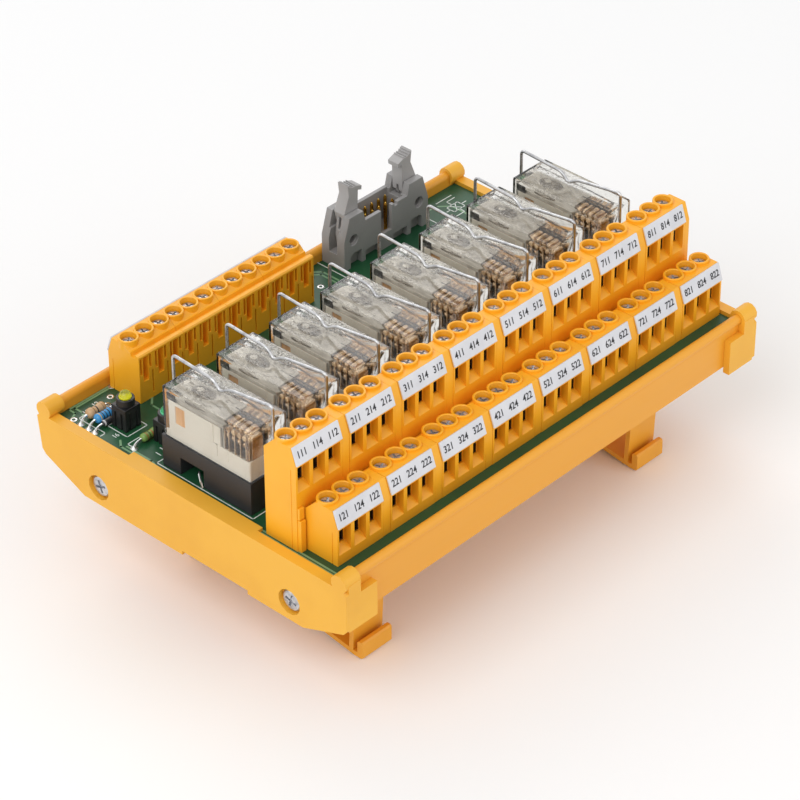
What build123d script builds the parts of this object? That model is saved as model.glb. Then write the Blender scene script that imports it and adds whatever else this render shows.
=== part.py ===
from build123d import *
import os

# Relay interface module: an extruded carrier tray with two end plates and two
# rail feet, a circuit board, eight plug-in relays in sockets with wire bails,
# an input terminal row, two output terminal tiers and a latched pin header.
# X runs along the mounting rail, -Y is the output side and +Z is up.
# The origin lies under the middle of the module, where the rail feet end.

# Terminal poles and their grouping
POLE = 5.08
POLES = 3
GROUPS = 8
INPUT_BLOCKS = 4
BLOCK_GAP = 0.06
OUTPUT_RIB = 2.48
END_RIB = 1.7
BLOCK = POLES * POLE
GROUP = BLOCK + OUTPUT_RIB + BLOCK_GAP

# Overall size: the row of output groups with a margin at each end,
# the working gap between parts, and the sides given to repeated rounds
START_MARGIN = 4.54
END_MARGIN = 3.42
LENGTH = GROUPS * GROUP + START_MARGIN + END_MARGIN
WIDTH = 104.1
FIRST_X = -LENGTH / 2 + START_MARGIN
FIT = 0.03
OVERLAP = 0.4
POLE_SIDES = 8
SMALL_SIDES = 6
ROUND_SIDES = 12
BEAD_SIDES = 16

# Circuit board
BOARD_TOP = 37.8
BOARD_T = 1.6

# Carrier tray
WALL = 1.8
FLOOR = 1.6
SKIRT_T = 1.9
TRAY_Y = WIDTH / 2 - SKIRT_T
TRAY_BOTTOM = 22.2
KNEE_Z = 28.4
FLAT_Y = 36.6
SHELF = 2.2
BEAD_R = 1.3
BEAD_Y = TRAY_Y - 0.5
BEAD_Z = BOARD_TOP + 2.4
BOSS_YS = (-33.6, 31.0)
BOSS_Z = 26.3
BOSS_R = 2.4
SCREW_R = 1.3
GUIDE_Y = 27.4
GUIDE_T = 1.6
GUIDE_LIP = 1.4
GUIDE_LIP_T = 1.2
GUIDE_LOW = TRAY_BOTTOM - 3.6
BOSS_STEM = 2.0

# End plates
PLATE_T = 3.0
PLATE_TOP = BOARD_TOP + 1.0
PLATE_BOTTOM = 21.1
CAP_R = 2.4
CAP_LENGTH = 5.0
TAB_LENGTH = 10.4
TAB_TOP = 36.6
FRONT_TAB_LOW = 26.8
REAR_TAB_LOW = 29.2
LEDGE_DEPTH = 1.7
LEDGE_YS = (-20.8, 22.7)
HEAD_R = 3.0
HEAD_T = 1.0
HEAD_CHAMFER = 0.4
SINK_R = 3.5
SINK = 1.6
THREAD_LENGTH = 9.0
SCREW_PLAY = 0.15
PLATE_CHAMFER = 0.5
RELIEF = (-19.8, 2.2, 1.1)

# Rail feet for a 35 mm top-hat rail
RAIL_WIDTH = 35.0
RAIL_T = 1.0
RAIL_PLAY = 0.2
FOOT_X = 51.0
FOOT_WIDTH = 10.1
SEAT_Z = 6.0
SEAT_T = 2.4
HOOK_REACH = 1.5
CATCH_FRONT_Y = -38.8
WEB_T = 1.2
WEB_Y = -36.4
RIB_T = 1.6

# Terminal blocks: depths and heights from the pole axis and the board
HIGH_RIM = 29.8
LOW_RIM = 16.1
LOWER_SHIFT = 2.26
INPUT_X = FIRST_X + 18.21
FRONT = 5.5
BACK = 4.7
INPUT_FRONT = 4.9
INPUT_BACK = 6.1
LOWER_SETBACK = 7.15
TIER_GAP = 0.5
INPUT_SETBACK = 2.55
LOWER_Y = -TRAY_Y + LOWER_SETBACK + FRONT
UPPER_Y = LOWER_Y + FRONT + BACK + TIER_GAP
INPUT_Y = TRAY_Y - INPUT_SETBACK - INPUT_FRONT
COLLAR_R = 2.62
COLLAR_RISE = 0.8
HOLE_R = 2.05
CLAMP_R = 1.85
CLAMP_LENGTH = 4.0
CLAMP_DROP = 1.2
MARKER_T = 0.45
MARKER_DROP = 4.6
MARKER_LEAN = 1.55
RECESS_TOP = 6.0
RECESS_DEPTH = 2.3
RECESS_LENGTH = 8.0
DIVIDER = 1.2
ENTRY = (2.6, 3.8)
ENTRY_DEPTH = 2.6
ENTRY_DROP = 1.8
SILL_RISE = 2.6
COLLAR_DEPTH = 3.4

# Relays and sockets
RELAY = (12.7, 29.0, 14.2)
COVER_T = 0.7
COVER_CHAMFER = 0.5
RELAY_X = FIRST_X + 9.05
RELAY_Y = 0.0
SOCKET = (13.3, 29.8, 9.1)
SOCKET_TOP = BOARD_TOP + SOCKET[2]
ARCH_YS = (1.0, 8.8)
ARCH_Z = 5.0
BLADE = (0.6, 1.8, 3.6)
BLADE_X = 3.75
BLADE_YS = (-11.0, 9.5)
FRAME_BASE = 2.2
CONTACT_STEP = 5.6
HOUSING_TOP = 11.2
HOUSING_WALL = 1.1
CONTACT_LENGTH = 9.4
COIL_R = 3.5
FLANGE_X = 4.3
YOKE_X = 3.4
SPRING_YS = (1.3, 5.8)
SPRING_T = 0.5

# Wire bails
WIRE_R = 0.52
PIVOT_GAP = 0.05
PIVOT_Y = 16.95
PIVOT_Z = 54.2
POST_X = 1.3
POST_WIDTH = 3.0
POST_BACK = 1.15
BAIL_FRONT_Y = -16.2

# Pin header and its latches
HEADER_X = 36.8
HEADER = (31.8, 8.1)
HEADER_SETBACK = 1.95
HEADER_Y = TRAY_Y - HEADER_SETBACK - HEADER[1]
EAR = 8.0
EAR_TOP = 15.4
HEADER_WALL_TOP = 12.2
HEADER_WALL = 1.1
HEADER_FLOOR = 3.2
LATCH_SLOT = 10.8
TAIL_SLOT = 4.2
PIN_PITCH = 2.54
PIN_COLUMNS = 5
PIN_SIDE = 0.64
PIN_TOP = 11.5
LATCH_T = 3.6
TAIL_T = 2.4
LATCH_GAP = 0.2
LATCH_PIVOT = (3.6, 8.2)
AXLE_R = 1.2
AXLE_PLAY = 0.06

# Lamps and leaded parts
LAMP_R = 1.5
HOLDER = (5.1, 5.0, 6.5)
COLLAR_TOP = 8.5
DOME_Z = 8.8
LAMP_SUNK = 0.5
LAMP_PLAY = 0.1
COLLAR_WALL = 0.8
SUPPLY_LAMP = (FIRST_X + 7.45, 32.9)
RELAY_LAMP = (0.9, 21.0)
LEAD_R = 0.35
LEAD_PITCH = 10.16
# y, start and length of the body, radius
SUPPLY_PARTS = ((41.3, 2.3, 5.6, 1.2), (38.4, 2.3, 5.6, 1.15), (36.3, 2.6, 3.4, 0.8))
RELAY_PART = (2.6, 5.0, 1.0)


def block(x0, x1, y0, y1, z0, z1):
    """A box given by its limits."""
    return Pos((x0 + x1) / 2, (y0 + y1) / 2, (z0 + z1) / 2) * Box(x1 - x0, y1 - y0, z1 - z0)


def along_x(points, x0, x1):
    """A prism along X over a Y-Z outline."""
    face = Face(Wire.make_polygon([(x0, y, z) for y, z in points], close=True))
    return Solid.extrude(face, Vector(x1 - x0, 0, 0))


def along_y(points, y0, y1):
    """A prism along Y over an X-Z outline."""
    face = Face(Wire.make_polygon([(x, y0, z) for x, z in points], close=True))
    return Solid.extrude(face, Vector(0, y1 - y0, 0))


def facet(place, r, length, sides):
    """A many-sided stand-in for a small repeated round, along the place's Z."""
    return extrude(place * RegularPolygon(r, sides, rotation=180 / sides), amount=length)


def lying(y, z, r, x0, x1, sides=ROUND_SIDES):
    """A faceted round along X."""
    return facet(Plane(origin=(x0, y, z), z_dir=(1, 0, 0)), r, x1 - x0, sides)


def post(x, y, r, z0, z1, sides=POLE_SIDES):
    """A faceted round along Z."""
    return facet(Pos(x, y, z0), r, z1 - z0, sides)


def band(side, y0, y1):
    """The two limits of a span given outwards on one side of the middle."""
    return sorted((side * y0, side * y1))


def joined(first, *others):
    """All shapes fused into one."""
    return first.fuse(*others).clean()


def write(name, *solids):
    """Write one node, as one solid or as a group of separate solids."""
    shape = solids[0] if len(solids) == 1 else Compound(children=list(solids))
    export_step(shape, f"parts/{name}.step")


def carrier_profile():
    """Extruded tray: two beaded side walls, board shelves, floor, screw bosses."""
    half = LENGTH / 2 - PLATE_T - FIT
    inner = TRAY_Y - WALL
    right = [
        (FLAT_Y, TRAY_BOTTOM), (TRAY_Y, KNEE_Z), (TRAY_Y, BEAD_Z), (inner, BEAD_Z),
        (inner, KNEE_Z + 0.6 * FLOOR), (FLAT_Y - 0.4 * FLOOR, TRAY_BOTTOM + FLOOR),
    ]
    left = [(-y, z) for y, z in reversed(right)]
    outline = right + left
    body = along_x(outline, -half, half)
    shelf_top = BOARD_TOP - BOARD_T
    extras = []
    for s in (-1, 1):
        extras.append(lying(s * BEAD_Y, BEAD_Z, BEAD_R, -half, half, BEAD_SIDES))
        shelf = band(s, inner - SHELF, inner + OVERLAP)
        extras.append(block(-half, half, *shelf, shelf_top - FLOOR, shelf_top))
        guide = [
            (GUIDE_Y, TRAY_BOTTOM + OVERLAP), (GUIDE_Y + GUIDE_T, TRAY_BOTTOM + OVERLAP),
            (GUIDE_Y + GUIDE_T, GUIDE_LOW), (GUIDE_Y - GUIDE_LIP, GUIDE_LOW),
            (GUIDE_Y - GUIDE_LIP, GUIDE_LOW + GUIDE_LIP_T), (GUIDE_Y, GUIDE_LOW + GUIDE_LIP_T),
        ]
        extras.append(along_x([(s * y, z) for y, z in guide], -half, half))
    for y in BOSS_YS:
        extras.append(lying(y, BOSS_Z, BOSS_R, -half, half))
        stem = (y - BOSS_STEM / 2, y + BOSS_STEM / 2)
        extras.append(block(-half, half, *stem, TRAY_BOTTOM + FLOOR / 2, BOSS_Z - BOSS_R + OVERLAP))
    body = joined(body, *extras)
    for y in BOSS_YS:
        body -= lying(y, BOSS_Z, SCREW_R - FIT, -half - 1, half + 1, POLE_SIDES)
    return body


def end_plate():
    """Near end plate, with its outer face towards -X."""
    x0 = -LENGTH / 2
    w = WIDTH / 2
    outline = [
        (-w, BOARD_TOP), (-w, 27.4), (-w + 1.0, 26.2), (-46.2, 24.3), (-38.0, PLATE_BOTTOM),
        (36.3, PLATE_BOTTOM), (w - 2.3, 27.0), (w - 1.1, 28.4), (w, BOARD_TOP),
        (w - 1.2, PLATE_TOP), (-w + 1.2, PLATE_TOP),
    ]
    body = along_x(outline, x0, x0 + PLATE_T)
    caps = [lying(s * BEAD_Y, BEAD_Z, CAP_R, x0, x0 + CAP_LENGTH) for s in (-1, 1)]
    body = joined(body, *caps)
    body = chamfer(body.faces().sort_by(Axis.X)[0].edges(), PLATE_CHAMFER)
    # shallow relief along the lower edge
    y0, y1, depth = RELIEF
    body -= block(x0 - 1, x0 + PLATE_T + 1, y0, y1, PLATE_BOTTOM - 1, PLATE_BOTTOM + depth)
    # lip over the edge of the board
    reach = x0 + PLATE_T + LEDGE_DEPTH
    body = joined(body, block(x0 + PLATE_T / 2, reach, *LEDGE_YS, BOARD_TOP + FIT, PLATE_TOP))
    for s in (-1, 1):
        low = FRONT_TAB_LOW if s < 0 else REAR_TAB_LOW
        skin = band(s, TRAY_Y + FIT, w)
        root = x0 + 2 * PLATE_CHAMFER
        cheek = block(root, x0 + CAP_LENGTH, *skin, low, BEAD_Z)
        tab = block(root, x0 + TAB_LENGTH, *skin, low, TAB_TOP)
        body = joined(body, cheek, tab)
        # room for the tray's wall, shelf and bead
        beyond = (x0 + PLATE_T, x0 + TAB_LENGTH + 1)
        body -= block(*beyond, *band(s, TRAY_Y - WALL - FIT, TRAY_Y + FIT), 20, BEAD_Z)
        body -= block(*beyond, *band(s, BEAD_Y - CAP_R - 1, TRAY_Y), 20, BOARD_TOP + FIT)
        body -= lying(s * BEAD_Y, BEAD_Z, BEAD_R + 2 * FIT, *beyond)
    for y in BOSS_YS:
        body -= lying(y, BOSS_Z, SCREW_R + SCREW_PLAY, x0 - 1, x0 + PLATE_T + 1, POLE_SIDES)
        body -= lying(y, BOSS_Z, SINK_R, x0 - 1, x0 + SINK)
    return body


def end_plate_screws():
    """Two pan-head screws in each end plate, biting into the tray's bosses."""
    x0 = -LENGTH / 2 + SINK
    screws = []
    for y in BOSS_YS:
        axis = Plane(origin=(x0, y, BOSS_Z), z_dir=(1, 0, 0))
        head = facet(axis.offset(-HEAD_T), HEAD_R, HEAD_T, ROUND_SIDES)
        head = chamfer(head.faces().sort_by(Axis.X)[0].edges(), HEAD_CHAMFER)
        thread = facet(axis, SCREW_R - 2 * FIT, PLATE_T - SINK + THREAD_LENGTH, POLE_SIDES)
        near = joined(head, thread)
        screws += [near, mirror(near, Plane.YZ)]
    return screws


def rail_foot():
    """One moulding: guide bar, rail seat with fixed hook, sprung catch."""
    x0, x1 = -FOOT_WIDTH / 2, FOOT_WIDTH / 2
    rail = RAIL_WIDTH / 2 + RAIL_PLAY
    lip = SEAT_Z - RAIL_T - 0.4
    top = TRAY_BOTTOM - FIT
    guide = GUIDE_Y - 4 * FIT
    slot = GUIDE_Y - GUIDE_LIP - 4 * FIT
    tongue = GUIDE_LOW + GUIDE_LIP_T + 2 * FIT
    below = GUIDE_LOW - 2 * FIT
    bar = [
        (-guide, top), (guide, top), (guide, tongue), (slot, tongue), (slot, below - WEB_T),
        (WEB_Y, below - WEB_T), (WEB_Y, below),
        (-slot, below), (-slot, tongue), (-guide, tongue),
    ]
    seat = [
        (-rail - 0.5, SEAT_Z), (rail, SEAT_Z), (rail, lip), (rail - HOOK_REACH, lip),
        (rail - HOOK_REACH, lip - 1.2), (rail - 0.2, 0), (rail + 3.0, 0),
        (rail + 3.4, SEAT_Z + SEAT_T), (-rail - 0.5, SEAT_Z + SEAT_T),
    ]
    ribs = [
        block(x0, x1, y, y + RIB_T, SEAT_Z + SEAT_T - OVERLAP, below - WEB_T + OVERLAP)
        for y in (-rail - 0.5, -RIB_T / 2, rail + 3.2 - RIB_T)
    ]
    front = CATCH_FRONT_Y
    top_of_web = below - WEB_T / 2
    web = [(WEB_Y, top_of_web), (WEB_Y + WEB_T, top_of_web), (WEB_Y + WEB_T + 1, 0.8), (WEB_Y + 0.8, 0.8)]
    catch = [
        (front, 0.4), (front + 0.5, 0), (front + 2.6, 0), (-20.6, 2.4), (-rail + 1.2, 2.4),
        (-rail + HOOK_REACH, 3.4), (-rail + HOOK_REACH, lip), (-rail, lip), (-rail - 0.9, 4.2),
        (-20.8, 3.7), (front + 2.6, 1.3), (front + 1.8, 1.5), (front + 1.8, 4.5),
        (front + 1.3, 4.9), (front + 0.4, 4.9), (front, 4.5),
    ]
    pieces = [along_x(outline, x0, x1) for outline in (seat, web, catch)]
    return joined(along_x(bar, x0, x1), *pieces, *ribs)


def circuit_board():
    half = LENGTH / 2 - PLATE_T - 0.1
    edge = TRAY_Y - WALL - FIT
    return block(-half, half, -edge, edge, BOARD_TOP - BOARD_T + FIT, BOARD_TOP)


def block_side(rim, front, back, ledged):
    """Side outline of a terminal block, wire side at -Y, from the board up."""
    shoulder = rim - COLLAR_RISE
    seat_top = (-front + MARKER_LEAN, shoulder)
    seat_foot = (-front, shoulder - MARKER_DROP)
    outline = [(back, 0), (-front, 0), seat_foot, seat_top]
    if ledged:
        ledge = rim - 2.6
        ridge = [(back - 0.8, ledge), (back - 0.4, ledge + 0.5), (back, ledge)]
        return outline + [(1.4, shoulder), (1.4, ledge)] + ridge
    return outline + [(1.2, shoulder), (back, shoulder - (back - 1.2))]


def marker_strip(rim, front, length):
    """White snap-in marker on the slanted front of a block, left end at x=0."""
    top, foot = rim - COLLAR_RISE, rim - COLLAR_RISE - MARKER_DROP
    out = MARKER_T
    points = [
        (-front + MARKER_LEAN, top), (-front + MARKER_LEAN - out, top + 0.15),
        (-front - out, foot + 0.15), (-front, foot),
    ]
    return along_x([(y - FIT, z) for y, z in points], 0.1, length - 0.1)


def terminal_block(rim, rib=0.0, front=FRONT, back=BACK, ledged=False):
    """Three poles with a plain rib beside them, left face at x=0, poles on y=0."""
    width = BLOCK + (rib if rib else -BLOCK_GAP)
    body = along_x(block_side(rim, front, back, ledged), 0, width)
    poles = [POLE * (k + 0.5) for k in range(POLES)]
    body = joined(body, *[post(x, 0, COLLAR_R, rim - COLLAR_DEPTH, rim) for x in poles])
    top = rim - RECESS_TOP
    low = top - RECESS_LENGTH
    half = (POLE - DIVIDER) / 2
    for x in poles:
        body -= post(x, 0, HOLE_R, rim - CLAMP_DROP - CLAMP_LENGTH, rim + 1, SMALL_SIDES)
        # funnel with a sloping sill, and the clamp's mouth behind it
        mouth = -front + RECESS_DEPTH
        funnel = [(-front - 1, top), (mouth, top), (mouth, low + SILL_RISE), (-front - 1, low)]
        body -= along_x(funnel, x - half, x + half)
        high = top - ENTRY_DROP
        across = (x - ENTRY[0] / 2, x + ENTRY[0] / 2)
        body -= block(*across, mouth - OVERLAP, mouth + ENTRY_DEPTH, high - ENTRY[1], high)
        if ledged:
            body -= block(x - 1.8, x - 0.8, back - 1.2, back + 1, rim - 10.4, rim - 3.6)
            body -= block(x + 0.4, x + 1.0, back - 0.8, back + 1, rim - 8.6, rim - 3.6)
    return body


def output_block(n, rim, y, shift, rib):
    """Block n of an output tier."""
    return Pos(FIRST_X + n * GROUP + shift, y, BOARD_TOP) * terminal_block(rim, rib)


def upper_block(n):
    rib = OUTPUT_RIB if n < GROUPS - 1 else END_RIB
    return output_block(n, HIGH_RIM, UPPER_Y, 0, rib)


def lower_block(n):
    rib = OUTPUT_RIB if n < GROUPS - 1 else 0
    return output_block(n, LOW_RIM, LOWER_Y, LOWER_SHIFT, rib)


def input_place(n):
    """Place of input block n, turned so that its wire side looks to +Y."""
    return Pos(INPUT_X + (n + 1) * BLOCK - POLE / 2, INPUT_Y, BOARD_TOP) * Rot(0, 0, 180)


def input_block(n):
    return input_place(n) * terminal_block(LOW_RIM, 0, INPUT_FRONT, INPUT_BACK, ledged=True)


def marker_strips():
    strips = []
    for n in range(GROUPS):
        x = FIRST_X + n * GROUP
        strips.append(Pos(x, UPPER_Y, BOARD_TOP) * marker_strip(HIGH_RIM, FRONT, BLOCK))
        strips.append(Pos(x + LOWER_SHIFT, LOWER_Y, BOARD_TOP) * marker_strip(LOW_RIM, FRONT, BLOCK))
    for n in range(INPUT_BLOCKS):
        strips.append(input_place(n) * marker_strip(LOW_RIM, INPUT_FRONT, BLOCK))
    return strips


def terminal_screws():
    """Clamp screws, sunk in the collars; one per pole of all three rows."""
    tiers = [(FIRST_X, UPPER_Y, HIGH_RIM), (FIRST_X + LOWER_SHIFT, LOWER_Y, LOW_RIM)]
    places = [
        (x + POLE / 2 + n * GROUP + k * POLE, y, BOARD_TOP + rim)
        for x, y, rim in tiers for n in range(GROUPS) for k in range(POLES)
    ]
    places += [(INPUT_X + k * POLE, INPUT_Y, BOARD_TOP + LOW_RIM) for k in range(INPUT_BLOCKS * POLES)]
    return [
        post(x, y, CLAMP_R, rim - CLAMP_DROP - CLAMP_LENGTH + FIT, rim - CLAMP_DROP, SMALL_SIDES)
        for x, y, rim in places
    ]


def relay_cover():
    """Clear cover, open below, on the relay's own middle and seat."""
    wx, wy, wz = RELAY
    outer = Pos(0, 0, wz / 2) * Box(wx, wy, wz)
    outer = chamfer(outer.edges().filter_by(Axis.Z) + outer.edges().group_by(Axis.Z)[-1], COVER_CHAMFER)
    return outer - block(
        -wx / 2 + COVER_T, wx / 2 - COVER_T, -wy / 2 + COVER_T, wy / 2 - COVER_T, -1, wz - COVER_T
    )


def relay_inside():
    """Half width and half depth of the room inside the cover."""
    return RELAY[0] / 2 - COVER_T - FIT, RELAY[1] / 2 - COVER_T - FIT


def blade_places():
    return [(s * BLADE_X, y) for s in (-1, 1) for y in BLADE_YS]


def relay_frame():
    """Moulded base with plug blades, bobbin housing and contact divider."""
    ix, iy = relay_inside()
    split = -iy + CONTACT_LENGTH
    base = block(-ix, ix, -iy, iy, FIT, FRAME_BASE)
    step = block(-ix, ix, -iy, split, FRAME_BASE - 0.1, CONTACT_STEP)
    housing = block(-ix, ix, split - 0.2, iy - 1.0, FRAME_BASE - 0.1, HOUSING_TOP)
    wall = HOUSING_WALL
    housing -= block(-ix + wall, ix - wall, split + wall, iy - 1.0 - wall, FRAME_BASE + 1, HOUSING_TOP + 1)
    fin = block(-0.4, 0.4, -iy + 1.0, split, CONTACT_STEP - 0.1, RELAY[2] - COVER_T - 1.0)
    blades = [
        block(x - BLADE[0] / 2, x + BLADE[0] / 2, y - BLADE[1] / 2, y + BLADE[1] / 2, -BLADE[2], FIT + 0.4)
        for x, y in blade_places()
    ]
    return joined(base, step, housing, fin, *blades)


def relay_coil():
    """Wound coil between its flanges, with the steel yoke along the top."""
    ix, iy = relay_inside()
    y0 = -iy + CONTACT_LENGTH + HOUSING_WALL + 0.1
    y1 = iy - 1.0 - HOUSING_WALL - 0.1
    mid = FRAME_BASE + COIL_R + 1.4
    winding = facet(Plane(origin=(0, y0, mid), z_dir=(0, 1, 0)), COIL_R, y1 - y0, SMALL_SIDES)
    flange_ys = (y0, y1 - 0.9)
    flanges = [block(-FLANGE_X, FLANGE_X, y, y + 0.9, FRAME_BASE + 1 + FIT, HOUSING_TOP) for y in flange_ys]
    yoke = block(-YOKE_X, YOKE_X, y0, y1, HOUSING_TOP - 0.3, HOUSING_TOP + 1.0)
    return joined(winding, *flanges, yoke)


def relay_contacts():
    """Two banks of contact springs under the card that pushes them."""
    ix, iy = relay_inside()
    z0, z1 = CONTACT_STEP + FIT, RELAY[2] - COVER_T - 1.2
    banks = []
    for s in (-1, 1):
        springs = [
            block(*band(s, 1.2, ix - 0.7), -iy + y, -iy + y + SPRING_T, z0, z1) for y in SPRING_YS
        ]
        card = block(*band(s, 0.6, ix - 0.5), -iy + SPRING_YS[0], -iy + SPRING_YS[1] + SPRING_T, z1 - 0.6, z1)
        banks.append(joined(card, *springs))
    return banks


def relay_place(n):
    return Pos(RELAY_X + n * GROUP, RELAY_Y, SOCKET_TOP)


def relay_socket():
    """Black socket: blade slots, arch through the foot, rear post for the bail."""
    wx, wy, wz = SOCKET
    body = Pos(0, 0, -wz / 2) * Box(wx, wy, wz)
    for s in (-1, 1):
        x = band(s, BLADE_X - BLADE[0] / 2 - 0.1, BLADE_X + BLADE[0] / 2 + 0.1)
        body -= block(*x, BLADE_YS[0] - BLADE[1], BLADE_YS[-1] + BLADE[1], -BLADE[2] - 0.2, 1)
    body -= block(-wx, wx, *ARCH_YS, -wz - 1, -wz + ARCH_Z)
    # notch that takes the front end of the bail
    notch = BAIL_FRONT_Y - RELAY_Y + WIRE_R + 0.4
    body -= block(-WIRE_R - 0.5, WIRE_R + 0.5, -wy, max(notch, -wy / 2 + 0.8), -wz + 2, 1)
    # rear post with the pivot bore of the bail
    py, pz = PIVOT_Y - RELAY_Y, PIVOT_Z - SOCKET_TOP
    x0, x1 = POST_X, POST_X + POST_WIDTH
    side = [
        (wy / 2 - 0.3, -wz + 2), (wy / 2 + 1.4, -wz + 2), (py + POST_BACK, -2.0),
        (py + POST_BACK, pz + 0.7), (py + POST_BACK - 0.6, pz + POST_BACK), (py - POST_BACK, pz + POST_BACK),
        (py - POST_BACK, 0.4), (wy / 2 - 0.3, -0.4),
    ]
    body = joined(body, along_x(side, x0, x1))
    bore = Plane(origin=(x0 - 0.5, py, pz), z_dir=(1, 0, 0))
    return body - facet(bore, WIRE_R + PIVOT_GAP, POST_WIDTH + 1, POLE_SIDES)


def retaining_bail():
    """Bent wire bail in the relay's middle plane, pivoting in the rear post."""
    top = SOCKET_TOP + RELAY[2]
    x1 = POST_X + POST_WIDTH + 0.5
    route = [
        (x1, PIVOT_Y, PIVOT_Z), (0.7, PIVOT_Y, PIVOT_Z), (0, PIVOT_Y, PIVOT_Z + 0.7),
        (0, PIVOT_Y, top + 3.7), (0, PIVOT_Y - 0.5, top + 4.3), (0, 3.3, top + 3.6),
        (0, 1.1, top + 1.3), (0, -2.2, top + 3.3), (0, BAIL_FRONT_Y + 0.7, top + 5.4),
        (0, BAIL_FRONT_Y, top + 4.7), (0, BAIL_FRONT_Y, BOARD_TOP + 4.0),
    ]
    path = Polyline(*route)
    start = Plane(origin=path @ 0, z_dir=path % 0)
    return sweep(start * RegularPolygon(WIRE_R, SMALL_SIDES), path=path, transition=Transition.RIGHT)


def header_housing():
    """Shrouded header: keyed front wall, high ends, latch slots, arched foot."""
    half = HEADER[0] / 2
    y0, y1 = 0, HEADER[1]
    mid = HEADER[1] / 2
    ear = [
        (-half, 0), (-half, 8.4), (-half + 2.1, EAR_TOP), (-half + EAR - 0.8, EAR_TOP),
        (-half + EAR, HEADER_WALL_TOP),
    ]
    face = ear + [(-x, z) for x, z in reversed(ear)]
    body = along_y(face, y0, y1)
    room = half - EAR - 0.5
    body -= block(-room, room, y0 + HEADER_WALL, y1 - HEADER_WALL, HEADER_FLOOR, EAR_TOP + 1)
    wide, slim = LATCH_T / 2 + LATCH_GAP, TAIL_T / 2 + LATCH_GAP
    for s in (-1, 1):
        # slots that take the two latches, wide above and slim below
        body -= block(*band(s, half - EAR - 1, half + 1), mid - wide, mid + wide, LATCH_SLOT, EAR_TOP + 1)
        tail = (TAIL_SLOT, LATCH_SLOT + 0.2)
        body -= block(*band(s, half - EAR + 1.2, half + 1), mid - slim, mid + slim, *tail)
        # pivot bores of the latches, and the arches under the front wall
        pivot = Plane(origin=(s * (half - LATCH_PIVOT[0]), y0 - 1, LATCH_PIVOT[1]), z_dir=(0, 1, 0))
        body -= facet(pivot, AXLE_R + AXLE_PLAY, HEADER[1] + 2, ROUND_SIDES)
        arch = [(half - 2.4, -1), (half - 2.4, 3.4), (half - 3.4, 4.1), (half - 6.6, 4.1), (half - 6.6, -1)]
        body -= along_y([(s * x, z) for x, z in arch], y0 - 1, y0 + 1.6)
        body -= block(*band(s, 2.6, half - 8.0), y0 - 1, y0 + 1.6, -1, 3.0)
    # polarising slot and the small notch in the front wall
    body -= block(-2.0, 2.0, y0 - 1, y0 + HEADER_WALL + 0.5, 4.8, EAR_TOP)
    body -= block(3.0, 4.2, y0 - 1, y0 + HEADER_WALL + 0.5, HEADER_WALL_TOP - 0.9, EAR_TOP)
    return Pos(HEADER_X, HEADER_Y, BOARD_TOP) * body


def header_latch():
    """Near latch, upright; its end of the header is at x=0, inwards is +X."""
    mid = HEADER[1] / 2
    px, pz = LATCH_PIVOT
    tail = [
        (px - 1.0, 5.0), (px + 1.0, 5.0), (px + 2.2, 9.0), (px + 3.4, 12.0), (px + 3.4, 14.4),
        (px - 0.6, 14.4), (px - 1.5, 9.0),
    ]
    head = [
        (px - 0.5, 12.2), (px + 3.8, 12.2), (px + 4.1, 20.6), (px + 5.4, 20.1), (px + 5.5, 21.4),
        (px + 3.4, 22.2), (px + 1.8, 22.3), (px + 0.3, 23.4), (px + 0.7, 20.0), (px - 1.2, 15.2),
    ]
    latch = joined(
        along_y(tail, mid - TAIL_T / 2, mid + TAIL_T / 2),
        along_y(head, mid - LATCH_T / 2, mid + LATCH_T / 2),
        facet(Plane(origin=(px, 0.8, pz), z_dir=(0, 1, 0)), AXLE_R, HEADER[1] - 1.6, ROUND_SIDES),
    )
    # slit that lets the two prongs of the tail spring together
    return latch - block(-1, px + 6, mid - 0.35, mid + 0.35, pz + 2.0, 13.8)


def header_latches():
    near = Pos(HEADER_X - HEADER[0] / 2, HEADER_Y, BOARD_TOP) * header_latch()
    far = mirror(near, Plane(origin=(HEADER_X, 0, 0), z_dir=(1, 0, 0)))
    return near, far


def header_pins():
    mid = HEADER_Y + HEADER[1] / 2
    a = PIN_SIDE / 2
    pins = []
    for c in range(PIN_COLUMNS):
        x = HEADER_X + (c - (PIN_COLUMNS - 1) / 2) * PIN_PITCH
        for y in (mid - PIN_PITCH / 2, mid + PIN_PITCH / 2):
            pins.append(block(x - a, x + a, y - a, y + a, BOARD_TOP + HEADER_FLOOR, BOARD_TOP + PIN_TOP))
    return pins


def lamp_places():
    row = [(RELAY_X + n * GROUP + RELAY_LAMP[0], RELAY_LAMP[1]) for n in range(GROUPS)]
    return [SUPPLY_LAMP] + row


def led_holders():
    wx, wy, wz = HOLDER
    sunk = wz - LAMP_SUNK
    case = block(-wx / 2, wx / 2, -wy / 2, wy / 2, 0, wz)
    body = joined(case, post(0, 0, LAMP_R + COLLAR_WALL, sunk, COLLAR_TOP, SMALL_SIDES))
    body -= post(0, 0, LAMP_R + LAMP_PLAY, sunk, COLLAR_TOP + 1, SMALL_SIDES)
    return [Pos(x, y, BOARD_TOP) * body for x, y in lamp_places()]


def status_leds():
    """Lamp stems with a domed end built of two tapers."""
    stem = post(0, 0, LAMP_R, HOLDER[2] - LAMP_SUNK, DOME_Z, SMALL_SIDES)
    ring = RegularPolygon(LAMP_R, SMALL_SIDES, rotation=180 / SMALL_SIDES)
    lower = extrude(Pos(0, 0, DOME_Z) * ring, amount=0.5 * LAMP_R, taper=16)
    crown = lower.faces().sort_by(Axis.Z)[-1]
    upper = extrude(crown, amount=0.38 * LAMP_R, taper=48)
    lamp = joined(stem, lower, upper)
    return [Pos(x, y, BOARD_TOP) * lamp for x, y in lamp_places()]


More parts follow.
